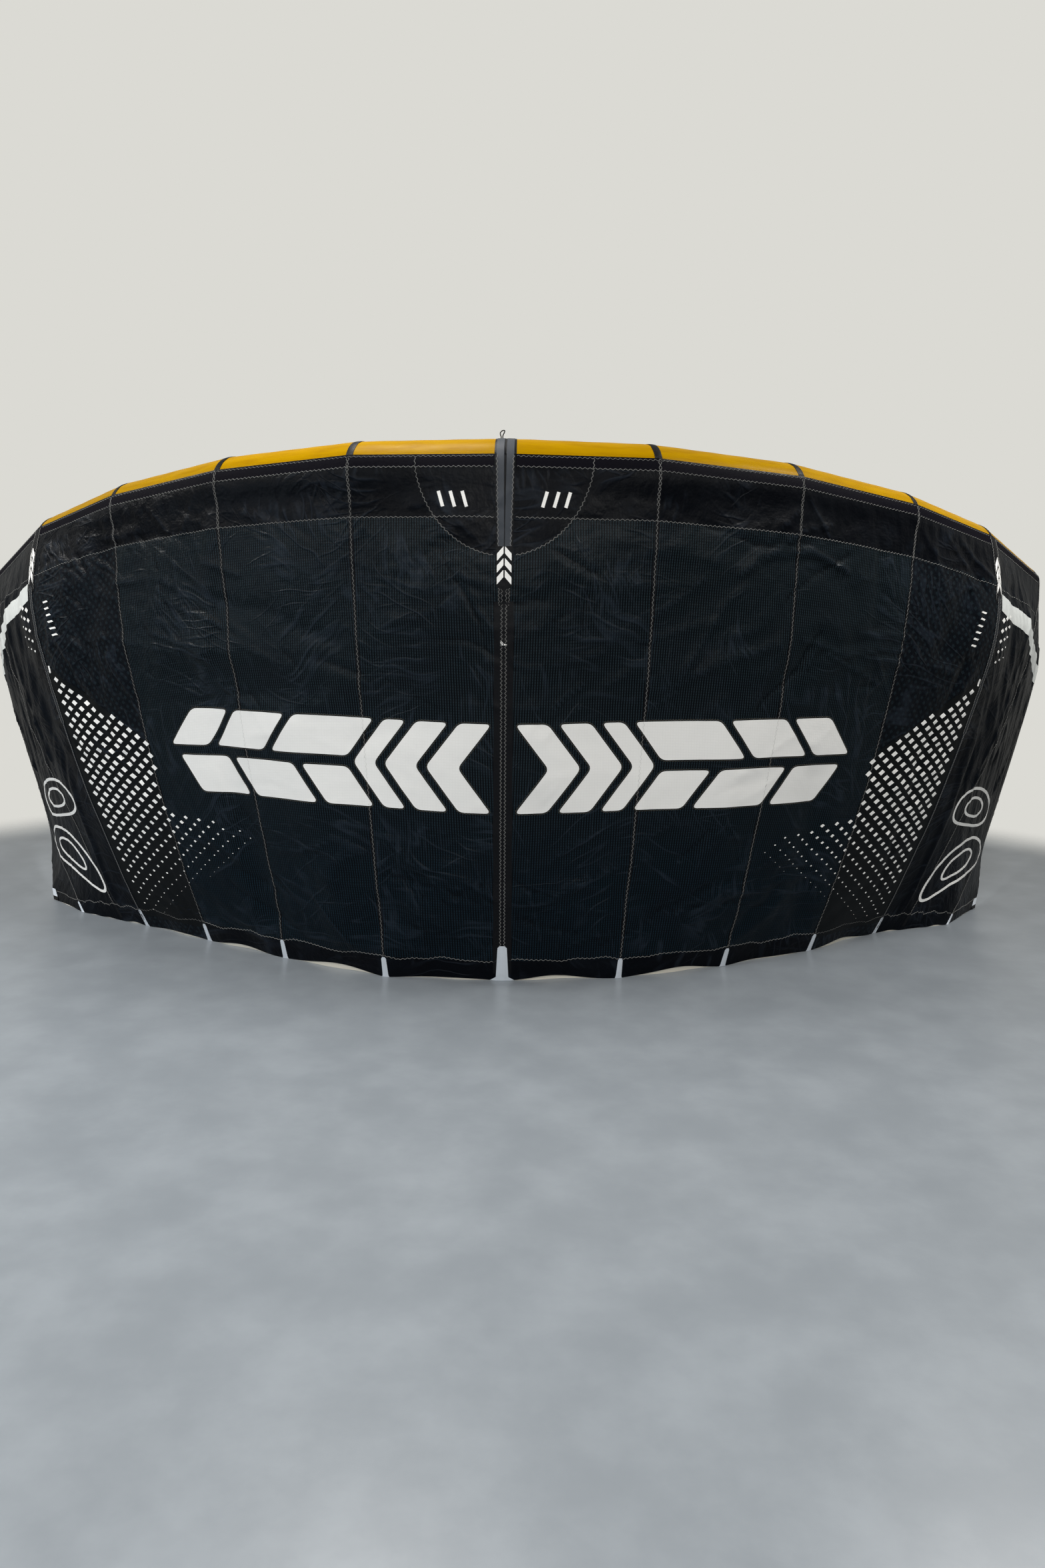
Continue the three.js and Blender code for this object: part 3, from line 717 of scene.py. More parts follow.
def slab(top: Array, low: Array, flat: Array, wrap: bool = False) -> Mesh:
    """A closed sheet between two grids of points.

    Args:
        top: Outer grid, rows down the cloth and columns across it.
        low: Inner grid of the same size.
        flat: Flat places of the grid, in metres.
        wrap: Whether the last column joins the first.

    Returns:
        The mesh.
    """
    rows, columns = top.shape[:2]
    index = np.arange(rows * columns).reshape(rows, columns)
    if wrap:
        index = np.concatenate([index, index[:, :1]], axis=1)
    under = index + rows * columns
    faces = []

    def quads(a: Array, b: Array, c: Array, d: Array) -> None:
        """Add cells by their corners, split from a to c."""
        for corners in ((a, b, c), (a, c, d)):
            faces.append(np.stack([corner.reshape(-1) for corner in corners], -1))

    quads(index[:-1, :-1], index[1:, :-1], index[1:, 1:], index[:-1, 1:])
    quads(under[:-1, :-1], under[:-1, 1:], under[1:, 1:], under[1:, :-1])
    quads(index[0, :-1], index[0, 1:], under[0, 1:], under[0, :-1])
    quads(under[-1, :-1], under[-1, 1:], index[-1, 1:], index[-1, :-1])
    if not wrap:
        quads(index[:-1, 0], under[:-1, 0], under[1:, 0], index[1:, 0])
        quads(index[:-1, -1], index[1:, -1], under[1:, -1], under[:-1, -1])
    points = np.concatenate([top.reshape(-1, 3), low.reshape(-1, 3)])
    return outward(points, np.concatenate(faces), np.concatenate([flat.reshape(-1, 2)] * 2))


def sleeve(count: int, sides: int) -> list[Array]:
    """Triangles round a tube of rings, with as many points in each ring as it has sides."""
    index = np.arange(count * sides).reshape(count, sides)
    after = np.roll(index, -1, axis=1)
    return [
        np.stack([index[:-1], after[:-1], after[1:]], -1).reshape(-1, 3),
        np.stack([index[:-1], after[1:], index[1:]], -1).reshape(-1, 3),
    ]


def tube(rings: Array, run: Array, around: Array) -> Mesh:
    """A closed tube through rings of points, closed by fans at both ends.

    Args:
        rings: Rings along the tube, each turning the same way.
        run: Flat distance of each ring along the tube.
        around: Flat distance of each point round it.

    Returns:
        The mesh.
    """
    count, sides = rings.shape[:2]
    points = rings.reshape(-1, 3)
    ends = np.stack([rings[0].mean(0), rings[-1].mean(0)])
    first, last = np.arange(sides), np.arange((count - 1) * sides, count * sides)
    faces = [
        *sleeve(count, sides),
        np.stack([np.roll(first, -1), first, np.full(sides, len(points))], -1),
        np.stack([last, np.roll(last, -1), np.full(sides, len(points) + 1)], -1),
    ]
    places = over(run, around).reshape(-1, 2)
    flat = np.concatenate([places, places[[0, -1]]])
    return outward(np.concatenate([points, ends]), np.concatenate(faces), flat)


def over(run: Array, around: Array) -> Array:
    """Flat places of a grid from distances along its rows and its columns."""
    return np.stack(np.broadcast_arrays(run[:, None], around[None, :]), -1)


def joined(meshes: Sequence[Mesh]) -> Mesh:
    """Several meshes as one."""
    starts = np.cumsum([0, *[len(mesh[0]) for mesh in meshes[:-1]]])
    points, faces, flats = zip(*meshes)
    moved = [part + start for part, start in zip(faces, starts)]
    return np.concatenate(points), np.concatenate(moved), np.concatenate(flats)


def add_piece(name: str, mesh: Mesh, finish: bpy.types.Material,
              node: str = "") -> bpy.types.Object:
    """Make one object that rides on the kite.

    Args:
        name: Name of the piece.
        mesh: Its mesh.
        finish: Its material.
        node: The node whose solid it stands for, if any.

    Returns:
        The object.
    """
    points, faces, flat = mesh
    data = bpy.data.meshes.new(name)
    data.vertices.add(len(points))
    data.vertices.foreach_set("co", np.ascontiguousarray(points, np.float32).ravel())
    data.loops.add(faces.size)
    data.loops.foreach_set("vertex_index", np.ascontiguousarray(faces, np.int32).ravel())
    data.polygons.add(len(faces))
    data.polygons.foreach_set("loop_start", np.arange(0, faces.size, 3, dtype=np.int32))
    data.update(calc_edges=True)
    layer = data.uv_layers.new(name=FLAT_MAP)
    layer.data.foreach_set("uv", np.ascontiguousarray(flat[faces.ravel()], np.float32).ravel())
    data.shade_smooth()
    data.set_sharp_from_angle(angle=math.radians(50))
    data.materials.append(finish)
    piece = bpy.data.objects.new(name, data)
    bpy.context.scene.collection.objects.link(piece)
    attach(piece, BODY)
    if node:
        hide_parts(node)
    LOG.info("%s: %d triangles", name, len(faces))
    return piece


class Line:
    """A line on the cloth."""

    look = 4 * MM               # how far to look along the line for its direction

    def __init__(self, skin: Skin, stations: Sequence[float], rows: Sequence[float],
                 steps: int = 60) -> None:
        """Measure the line.

        Args:
            skin: The cloth.
            stations: Stations of its points.
            rows: Chord fractions of its points.
            steps: Cells from one point to the next.
        """
        self.skin = skin
        count = len(stations)
        fine = np.linspace(0, count - 1, steps * (count - 1) + 1)
        self.station = np.interp(fine, np.arange(count), stations)
        self.row = np.interp(fine, np.arange(count), rows)
        flat = skin.wing.flat(self.station, self.row)
        self.run = np.concatenate([[0], np.cumsum(np.hypot(*np.diff(flat, axis=0).T))])

    @classmethod
    def down(cls, skin: Skin, station: float, top: float, foot: float) -> "Line":
        """A line down one station, from one row to another."""
        return cls(skin, [station, station], [top, foot])

    @property
    def length(self) -> float:
        """Length over the cloth, in metres."""
        return float(self.run[-1])

    def at(self, run: Array, off: Array | float = 0.0) -> tuple[Array, Array]:
        """Stations and rows at distances along the line and off it.

        Args:
            run: Distances along it.
            off: Distances to its left, looking along it.

        Returns:
            Stations and rows.
        """
        wing = self.skin.wing

        def place(there: Array) -> tuple[Array, Array]:
            """Station and row at a distance along the line."""
            return np.interp(there, self.run, self.station), np.interp(there, self.run, self.row)

        station, row = place(run)
        ahead, behind = place(run + self.look), place(run - self.look)
        dx = wing.across(ahead[0], row) - wing.across(behind[0], row)
        dy = (ahead[1] - behind[1]) * wing.chord_length(station)
        size = np.maximum(np.hypot(dx, dy), 1e-9)
        return self.skin.walk(station, row, off * dy / size, -off * dx / size)


@dataclass(frozen=True)
class Stitch:
    """A zigzag or straight row of thread."""

    period: float = 14.0 * MM
    swing: float = 2.4 * MM
    width: float = 1.8 * MM
    height: float = 0.9 * MM
    points: int = 4

    def sew(self, line: Line, off: float = 0.0, lift: float = 0.0, phase: float = 0.0) -> Mesh:
        """Sew along a line.

        Args:
            line: Where to sew.
            off: Distance to the left of the line.
            lift: Height of what is sewn through.
            phase: Where in the stitch it starts, as a part of the period.

        Returns:
            A thread of three sides.
        """
        count = max(3, round(line.length / self.period * self.points)) + 1
        run = np.linspace(0, line.length, count)
        turn = 2 * math.pi * (run / self.period + phase)
        wave = np.arcsin(np.sin(turn) * 0.98) / (math.pi / 2)
        station, row = line.at(run, off + self.swing * wave)
        point, normal = line.skin.facet(station, row)
        point = point + normal * (SHELL / 2 + lift)
        side = unit(np.cross(normal, unit(np.gradient(point, axis=0)))) * self.width / 2
        rings = np.stack([point - side, point + side, point + normal * self.height], axis=1)
        last = 3 * count - 3
        faces = [*sleeve(count, 3), np.array([[2, 1, 0], [last, last + 1, last + 2]])]
        flat = over(np.linspace(0, count * self.period / self.points, count), np.zeros(3))
        return outward(rings.reshape(-1, 3), np.concatenate(faces), flat.reshape(-1, 2))


def slab_on(skin: Skin, station: Array, row: Array, lift: float, thick: float, flat: Array) -> Mesh:
    """A sheet on the cloth through a grid of places; lift is the height of its lower face."""
    top, low = (on_floor(skin.at(station, row, height)) for height in (lift + thick, lift))
    return slab(top, low, flat)


def ribbon(line: Line, half: Callable[[Array], Array] | float, lift: float, thick: float,
           columns: int = 2, cell: float = 10 * MM) -> Mesh:
    """A flat strip sewn on along a line.

    Args:
        line: Its middle.
        half: Half its width, or a function of the part of its length.
        lift: Height of its lower face over the cloth.
        thick: Its thickness.
        columns: Cells across it.
        cell: Length of a cell.

    Returns:
        The mesh.
    """
    run = np.linspace(0, line.length, max(2, round(line.length / cell)) + 1)[:, None]
    width = half(run / line.length) if callable(half) else half
    off = width * np.linspace(-1, 1, columns + 1) * np.ones_like(run)
    station, row = line.at(run, off)
    flat = np.stack(np.broadcast_arrays(off, run), -1)
    return slab_on(line.skin, station, row, lift, thick, flat)


def rounded(corners: Sequence[Pair], radius: float, steps: int = 4) -> Array:
    """A polygon with rounded corners.

    Args:
        corners: Its corners in order.
        radius: Distance from a corner at which the rounding starts, at most.
        steps: Points in a corner, less one.

    Returns:
        The outline's points.
    """
    points = np.array(corners, float)
    outline = []
    for before, here, after in zip(np.roll(points, 1, 0), points, np.roll(points, -1, 0)):
        reach = min(radius, 0.45 * np.linalg.norm(before - here), 0.45 * np.linalg.norm(after - here))
        start, end = (here + unit(other - here) * reach for other in (before, after))
        for t in np.linspace(0, 1, steps + 1):
            outline.append((1 - t) ** 2 * start + 2 * t * (1 - t) * here + t**2 * end)
    return np.array(outline)


def refined(outline: Array, cell: float) -> Array:
    """An outline with no stretch longer than a cell."""
    points = []
    for here, after in zip(outline, np.roll(outline, -1, 0)):
        steps = max(1, math.ceil(float(np.linalg.norm(after - here)) / cell))
        points.extend(here + (after - here) * k / steps for k in range(steps))
    return np.array(points)


def grown(outline: Array, reach: float) -> Array:
    """An outline moved outwards by a distance."""
    after = np.roll(outline, -1, 0)
    run = unit(after - np.roll(outline, 1, 0))
    area = np.sum(outline[:, 0] * after[:, 1] - after[:, 0] * outline[:, 1])
    return outline + np.stack([run[:, 1], -run[:, 0]], -1) * reach * np.sign(area)


@dataclass(frozen=True)
class Cutter:
    """Cuts flat shapes and lays them on the cloth."""

    skin: Skin

    def place(self, x: Array, y: Array) -> tuple[Array, Array]:
        """Stations and rows of flat places.

        Args:
            x: Distance over the cloth from the centre seam.
            y: Distance down the chord from the front edge.

        Returns:
            Stations and rows.
        """
        wing = self.skin.wing
        station = np.asarray(x, float) / BAY
        for _ in range(12):
            row = y / wing.chord_length(station)
            gap = x - wing.across(np.clip(station, -TIP, TIP), row)
            station = np.clip(station + gap / np.maximum(wing.bay(station, row), 0.05), -TIP, TIP)
        return station, y / wing.chord_length(station)

    def plate(self, outline: Array, lift: float, thick: float, cell: float = 9 * MM,
              bed: Bed | None = None) -> Mesh:
        """A flat shape laid on the cloth.

        Args:
            outline: Its outline in flat places.
            lift: Height of its lower face.
            thick: Its thickness.
            cell: Size of its cells.
            bed: Where its flat places lie; the whole cloth's own places by default.

        Returns:
            The mesh.
        """
        edge = refined(outline, cell)
        low, high = edge.min(0), edge.max(0)
        steps = [np.arange(low[k], high[k], cell) for k in (0, 1)]
        grid = np.stack(np.meshgrid(*steps), -1).reshape(-1, 2)
        inner = grid[self._inside(edge, grid, cell * 0.45)]
        vertices = [Vector(point) for point in np.concatenate([edge, inner])]
        cut = delaunay_2d_cdt(vertices, [], [list(range(len(edge)))], 1, 1e-7)
        flat = np.array([tuple(point) for point in cut[0]])
        faces = np.array([tuple(face) for face in cut[2]])
        station, row = (bed or self.place)(flat[:, 0], flat[:, 1])
        points = np.concatenate([self.skin.at(station, row, height) for height in (lift + thick, lift)])
        every = np.concatenate([faces, faces[:, ::-1] + len(flat), self._walls(faces, len(flat))])
        return outward(on_floor(points), every, np.concatenate([flat, flat]))

    @staticmethod
    def _walls(faces: Array, count: int) -> Array:
        """Walls between the two faces of a plate, along its border.

        Args:
            faces: Triangles of the upper face.
            count: How many points it has.

        Returns:
            The walls' triangles.
        """
        edges = np.concatenate([faces[:, [0, 1]], faces[:, [1, 2]], faces[:, [2, 0]]])
        known = {tuple(edge) for edge in edges.tolist()}
        border = np.array([edge for edge in edges.tolist() if (edge[1], edge[0]) not in known])
        a, b = border[:, 0], border[:, 1]
        return np.concatenate([np.stack([b, a, a + count], -1), np.stack([b, a + count, b + count], -1)])

    @staticmethod
    def _inside(outline: Array, points: Array, margin: float) -> Array:
        """Which points lie inside an outline.

        Args:
            outline: Its corners.
            points: The points.
            margin: How far inside they have to be.

        Returns:
            True for each point inside.
        """
        a, line = outline, np.roll(outline, -1, 0) - outline
        px, py = points[:, None, 0], points[:, None, 1]
        over_line = (a[:, 1] > py) != (a[:, 1] + line[:, 1] > py)
        crosses = over_line & (px < line[:, 0] * (py - a[:, 1]) / (line[:, 1] + 1e-12) + a[:, 0])
        along = (px - a[:, 0]) * line[:, 0] + (py - a[:, 1]) * line[:, 1]
        t = np.clip(along / (np.sum(line**2, 1) + 1e-12), 0, 1)
        away = np.hypot(px - a[:, 0] - t * line[:, 0], py - a[:, 1] - t * line[:, 1]).min(1)
        return (crosses.sum(1) % 2 == 1) & (away > margin)

    def outline_line(self, outline: Array) -> Line:
        """The closed outline of a flat shape as a line on the cloth."""
        edge = refined(outline, 6 * MM)
        edge = np.concatenate([edge, edge[:1]])
        return Line(self.skin, *self.place(edge[:, 0], edge[:, 1]), steps=1)


# ---- finishes -----------------------------------------------------------------------------------
def colour(code: str) -> tuple[float, float, float, float]:
    """Linear colour of a six-digit code."""
    parts = [int(code[k : k + 2], 16) / 255 for k in (1, 3, 5)]
    return (*(p / 12.92 if p <= 0.04045 else ((p + 0.055) / 1.055) ** 2.4 for p in parts), 1.0)


Input = float | tuple | Socket


class Graph:
    """Wires the nodes of a material, or of the surroundings."""

    def __init__(self, owner: bpy.types.Material | bpy.types.World,
                 values: dict[str, float] | None = None) -> None:
        """Start from the owner's own shader.

        Args:
            owner: The material or the world.
            values: Values set on the shader's own sockets.
        """
        owner.use_nodes = True
        self.owner = owner
        self.nodes, self.links = owner.node_tree.nodes, owner.node_tree.links
        self.shader = self.nodes["Background" if isinstance(owner, bpy.types.World) else "Principled BSDF"]
        for socket, value in (values or {}).items():
            self.shader.inputs[socket].default_value = value

    @classmethod
    def paint(cls, name: str, **values: float) -> "Graph":
        """Start a material; a value's name is that of the socket, with _ for a blank."""
        sockets = {key.replace("_", " "): value for key, value in values.items()}
        return cls(bpy.data.materials.new(name), sockets)

    def feed(self, socket: Socket, value: Input) -> None:
        """Link or set a socket."""
        if isinstance(value, Socket):
            self.links.new(value, socket)
        else:
            socket.default_value = value

    def finish(self, base: Input, rough: Input, height: Input, strength: float) -> bpy.types.Material:
        """Feed the shader.

        Args:
            base: Colour.
            rough: Roughness.
            height: Height of the surface in metres.
            strength: How much of the height shows.

        Returns:
            The material.
        """
        bump = self.node("ShaderNodeBump", {"Height": height, "Distance": 1.0, "Strength": strength})
        for socket, value in (("Base Color", base), ("Roughness", rough), ("Normal", bump.outputs[0])):
            self.feed(self.shader.inputs[socket], value)
        return self.owner

    def node(self, kind: str, inputs: dict[int | str, Input] | None = None,
             **settings: object) -> bpy.types.Node:
        """Add a node.

        Args:
            kind: Name of its type.
            inputs: What goes into its sockets.
            settings: Its own settings.

        Returns:
            The node.
        """
        node = self.nodes.new(kind)
        for key, value in settings.items():
            setattr(node, key, value)
        for key, value in (inputs or {}).items():
            self.feed(node.inputs[key], value)
        return node

    def math(self, operation: str, a: Input, b: Input = 0.0) -> Socket:
        """A sum, product or other step on numbers."""
        return self.node("ShaderNodeMath", {0: a, 1: b}, operation=operation).outputs[0]

    def times(self, a: Input, b: Input) -> Socket:
        """The product of two numbers."""
        return self.math("MULTIPLY", a, b)

    def plus(self, a: Input, b: Input) -> Socket:
        """The sum of two numbers."""
        return self.math("ADD", a, b)

    def most(self, a: Input, b: Input) -> Socket:
        """The larger of two numbers."""
        return self.math("MAXIMUM", a, b)

    def ramp(self, value: Input, low: float, high: float, start: Input = 0.0, end: Input = 1.0,
             how: str = "SMOOTHSTEP") -> Socket:
        """Ease from start to end while a number goes from low to high."""
        inputs = {"Value": value, "From Min": low, "From Max": high, "To Min": start, "To Max": end}
        return self.node("ShaderNodeMapRange", inputs, interpolation_type=how).outputs[0]

    def mix(self, part: Input, a: Input | str, b: Input | str) -> Socket:
        """Mix two colours, given as sockets or codes."""
        a, b = (colour(value) if isinstance(value, str) else value for value in (a, b))
        return self.node("ShaderNodeMix", {0: part, 6: a, 7: b}, data_type="RGBA").outputs[2]

    def place(self) -> tuple[Socket, Socket, Socket]:
        """Place on the flat cloth in metres, whole and in its two parts."""
        flat = self.node("ShaderNodeUVMap", uv_map=FLAT_MAP).outputs[0]
        return flat, *self.node("ShaderNodeSeparateXYZ", {0: flat}).outputs[:2]

    def stretched(self, vector: Input, x: float, y: float) -> Socket:
        """A place scaled along both directions."""
        inputs = {0: vector, 1: (x, y, 1.0)}
        return self.node("ShaderNodeVectorMath", inputs, operation="MULTIPLY").outputs[0]

    def noise(self, vector: Input, scale: float, detail: float = 2.0, rough: float = 0.5) -> Socket:
        """Noise from 0 to 1."""
        inputs = {"Vector": vector, "Scale": scale, "Detail": detail, "Roughness": rough}
        return self.node("ShaderNodeTexNoise", inputs).outputs[0]

    def warped(self, vector: Input, scale: float, size: float) -> Socket:
        """A place pushed about by noise, so that what is drawn there bends."""
        push = self.node("ShaderNodeTexNoise", {"Vector": vector, "Scale": scale, "Detail": 1.0})
        inputs = {0: push.outputs["Color"], 1: (size,) * 3, 2: vector}
        return self.node("ShaderNodeVectorMath", inputs, operation="MULTIPLY_ADD").outputs[0]

    def lines(self, along: Input, pitch: float, width: float) -> Socket:
        """1 on evenly spaced lines."""
        return self.ramp(self.math("PINGPONG", along, pitch / 2), width * 0.75, width * 0.25)

    def grid(self, x: Input, y: Input, pitch: float, width: float) -> Socket:
        """1 on the lines of a square grid."""
        return self.most(self.lines(x, pitch, width), self.lines(y, pitch, width))

    def streaks(self, vector: Input, degrees: float, long: float, wide: float) -> Socket:
        """Long thin ridges in one direction.

        Args:
            vector: Place on the flat cloth.
            degrees: Their direction.
            long: About how long they are, in metres.
            wide: About how far apart they are.

        Returns:
            1 on a ridge, 0 between them.
        """
        inputs = {"Vector": vector, "Rotation": (0, 0, math.radians(degrees)), "Scale": (long, wide, 1.0)}
        turned = self.node("ShaderNodeMapping", inputs, vector_type="TEXTURE").outputs[0]
        middle = self.math("SUBTRACT", self.noise(turned, 1.0, 1.5), 0.5)
        return self.ramp(self.math("ABSOLUTE", middle), 0.055, 0.0)

    def fac(self, name: str) -> Socket:
        """A number kept on the mesh."""
        return self.node("ShaderNodeAttribute", attribute_name=name).outputs["Fac"]


@dataclass(frozen=True)
class RipstopFinish:
    """Coated canopy cloth: a grid of strong threads in the main field, plain cloth round it."""

    name: str = "canopy_cloth"
    cell: str = "#1f2b31"
    low: str = "#10222c"            # painted shade: the cell's darker colour towards the trailing edge
    line: str = "#010205"
    plain: str = "#020409"
    outer: str = "#060a10"          # the plain cloth's colour beside the struts and on the tips
    faded: str = "#10171f"
    crest_highlight: str = "#2d3540"
    # painted highlight: the lighter colour on the crests of wrinkles and along the streaks
    pitch: float = 7.4 * MM
    line_width: float = 4.1 * MM
    motif_pitch: float = 30 * MM    # of the small rhombi, tone on tone
    motif_reach: float = 7 * MM
    soft: float = 4.4 * MM          # heights of the wrinkles that are finer than the mesh
    crinkle: float = 1.5 * MM
    pleat: float = 2.2 * MM
    roughness: float = 0.40
    streaks: tuple[tuple[float, ...], ...] = (
        (24, 0.42, 0.065, 1.7), (-33, 0.34, 0.055, 1.3), (62, 0.30, 0.050, 1.0), (-4, 0.46, 0.050, 1.3),
        (84, 0.40, 0.060, 1.0),
    )                               # direction, length, spacing, height in mm

    def make(self) -> bpy.types.Material:
        """Build the material."""
        graph = Graph.paint(self.name, Specular_IOR_Level=0.085)
        flat, x, y = graph.place()
        field = graph.ramp(graph.fac("field"), -1.0 * MM, 1.0 * MM)
        pleats, crest = graph.fac("pleats"), graph.fac("crest")
        level = graph.times(graph.lines(y, self.pitch, self.line_width * 0.7), 0.6)
        grid = graph.most(graph.lines(x, self.pitch, self.line_width), level)
        worn = graph.noise(flat, 6.0, 4.0, 0.6)
        # painted shade: the cells darken towards the trailing edge, where the cloth gets less light
        cell = graph.mix(graph.ramp(y, 0.75, 1.25), self.cell, self.low)
        cell = graph.mix(graph.ramp(worn, 0.45, 0.8, 0.0, 0.30), cell, self.faded)
        woven = graph.mix(grid, cell, self.line)
        motif = graph.fac("motif")
        plain = graph.mix(graph.most(motif, pleats), self.plain, self.outer)
        plain = graph.mix(graph.ramp(worn, 0.45, 0.8, 0.0, 0.25), plain, self.faded)
        motif = graph.times(graph.times(self._rhombi(graph, x, y), motif), 0.4)
        base = graph.mix(field, graph.mix(motif, plain, self.cell), woven)
        # painted shade: the troughs of the wrinkles, where the cloth bends inwards, darken towards the line
        # colour
        base = graph.mix(graph.ramp(crest, -10.0, -60.0, 0.0, 0.45), base, self.line)
        height, marks = self._wrinkles(graph, flat, pleats)
        # painted highlight: lighter on outward bends and along the streaks' crests, weaker on the tips
        marks = graph.times(graph.math("POWER", marks, 2.0), 0.30)
        crest_highlight = graph.plus(graph.ramp(crest, 10.0, 80.0, 0.0, 0.16), marks)
        crest_highlight = graph.times(crest_highlight, graph.ramp(pleats, 0.0, 1.0, 1.0, 0.2))
        rough = graph.ramp(worn, 0.2, 0.8, self.roughness - 0.06, self.roughness + 0.10)
        ridge = graph.times(graph.times(grid, field), 0.10 * MM)
        tiny = graph.times(graph.noise(flat, 900.0, 1.0), 0.05 * MM)
        height = graph.plus(height, graph.plus(ridge, tiny))
        return graph.finish(graph.mix(crest_highlight, base, self.crest_highlight), rough, height, 1.0)

    def _wrinkles(self, graph: Graph, flat: Input, pleats: Input) -> tuple[Socket, Socket]:
        """Height of the wrinkles that are finer than the mesh, and where their crests are.

        Args:
            graph: The material's nodes.
            flat: Place on the flat cloth.
            pleats: 1 on the tips.

        Returns:
            The height of streaks, soft dents and the tips' pleats, and a number that is high on streaks.
        """
        soft = graph.times(graph.noise(graph.stretched(flat, 1.0, 0.7), 24.0, 3.0, 0.6), self.soft)
        crinkle = graph.times(graph.noise(graph.stretched(flat, 0.4, 1.0), 72.0, 2.0, 0.6), self.crinkle)
        patches = graph.ramp(graph.noise(flat, 4.5, 2.0), 0.44, 0.62, 0.15, 1.0)
        height = graph.plus(soft, graph.times(crinkle, patches))
        bent = graph.warped(graph.warped(flat, 5.0, 0.09), 19.0, 0.012)
        marks = 0.0
        for degrees, long, wide, size in self.streaks:
            gate = graph.ramp(graph.noise(graph.stretched(bent, 1.0, 1.0 + 0.01 * degrees), 4.6), 0.47, 0.68)
            streak = graph.times(graph.streaks(bent, degrees, long, wide), gate)
            height = graph.plus(height, graph.times(streak, size * MM))
            marks = graph.most(marks, streak)
        height = graph.times(height, graph.ramp(graph.fac("crumple"), 0.5 * MM, 5 * MM, 0.8, 1.7))
        folds = graph.noise(graph.stretched(bent, 1.0, 0.10), 62.0, 2.5, 0.6)
        return graph.plus(height, graph.times(folds, graph.times(pleats, self.pleat))), marks

    def _rhombi(self, graph: Graph, x: Input, y: Input) -> Socket:
        """Small staggered rhombi, tone on tone.

        Args:
            graph: The material's nodes.
            x: Flat place along the span.
            y: Flat place down the chord.

        Returns:
            1 on a rhombus.
        """
        half = self.motif_pitch / 2
        away = [
            graph.plus(*(graph.math("PINGPONG", graph.plus(axis, shift), half) for axis in (x, y)))
            for shift in (0.0, half)
        ]
        reach = self.motif_reach
        return graph.ramp(graph.math("MINIMUM", *away), reach + 1 * MM, reach - 1 * MM)


@dataclass(frozen=True)
class PlainFinish:
    """A plain woven piece: straps, tapes, tabs and thread."""

    name: str
    base: str
    shade: str
    roughness: float = 0.6
    thread: float = 1.0 * MM        # pitch of the weave
    weave: float = 0.10 * MM        # its depth
    diagonal: bool = False
    grid: float = 0.0               # pitch of a ripstop grid, where there is one
    crumple: float = 0.6 * MM
    sheen: float = 0.0
    stain: float = 0.35
    specular: float = 0.12

    def make(self) -> bpy.types.Material:
        """Build the material."""
        graph = Graph.paint(self.name, Sheen_Weight=self.sheen, Specular_IOR_Level=self.specular)
        flat, x, y = graph.place()
        if self.diagonal:
            weave = graph.lines(graph.plus(x, y), self.thread, self.thread * 0.5)
        else:
            weave = graph.grid(x, y, self.thread, self.thread * 0.5)
        height = graph.times(weave, self.weave)
        worn = graph.noise(flat, 14.0, 4.0, 0.6)
        part = graph.most(graph.times(weave, 0.35), graph.ramp(worn, 0.5, 0.8, 0.0, self.stain))
        if self.grid:
            lines = graph.grid(x, y, self.grid, 1.2 * MM)
            part = graph.most(graph.times(part, 0.5), graph.times(lines, 0.30))
            height = graph.plus(height, graph.times(lines, 0.12 * MM))
        height = graph.plus(height, graph.times(graph.noise(flat, 42.0, 2.0), self.crumple))
        return graph.finish(graph.mix(part, self.base, self.shade), self.roughness, height, 0.8)


@dataclass(frozen=True)
class TubeFinish:
    """Smooth woven polyester of the inflated tubes, with a satin shine and faint pucker lines."""

    name: str
    base: str
    shade: str
    roughness: float = 0.30
    stain: str = "#6b5310"

    def make(self) -> bpy.types.Material:
        """Build the material."""
        graph = Graph.paint(self.name, Specular_IOR_Level=0.016)
        flat, x, y = graph.place()
        weave = graph.grid(x, y, 1.6 * MM, 0.8 * MM)
        streaks = graph.noise(graph.stretched(flat, 1.0, 6.0), 9.0, 3.0, 0.55)
        base = graph.mix(graph.ramp(streaks, 0.35, 0.75, 0.0, 0.6), self.base, self.shade)
        base = graph.mix(graph.times(weave, 0.10), base, self.shade)
        dirt = graph.ramp(graph.noise(flat, 55.0, 5.0, 0.7), 0.60, 0.85, 0.0, 0.35)
        rough = graph.ramp(streaks, 0.2, 0.8, self.roughness - 0.05, self.roughness + 0.08)
        pucker = graph.times(graph.noise(graph.stretched(flat, 6.0, 1.0), 10.0, 2.0), 0.7 * MM)
        height = graph.plus(pucker, graph.times(weave, 0.04 * MM))
        return graph.finish(graph.mix(dirt, base, self.stain), rough, height, 0.7)


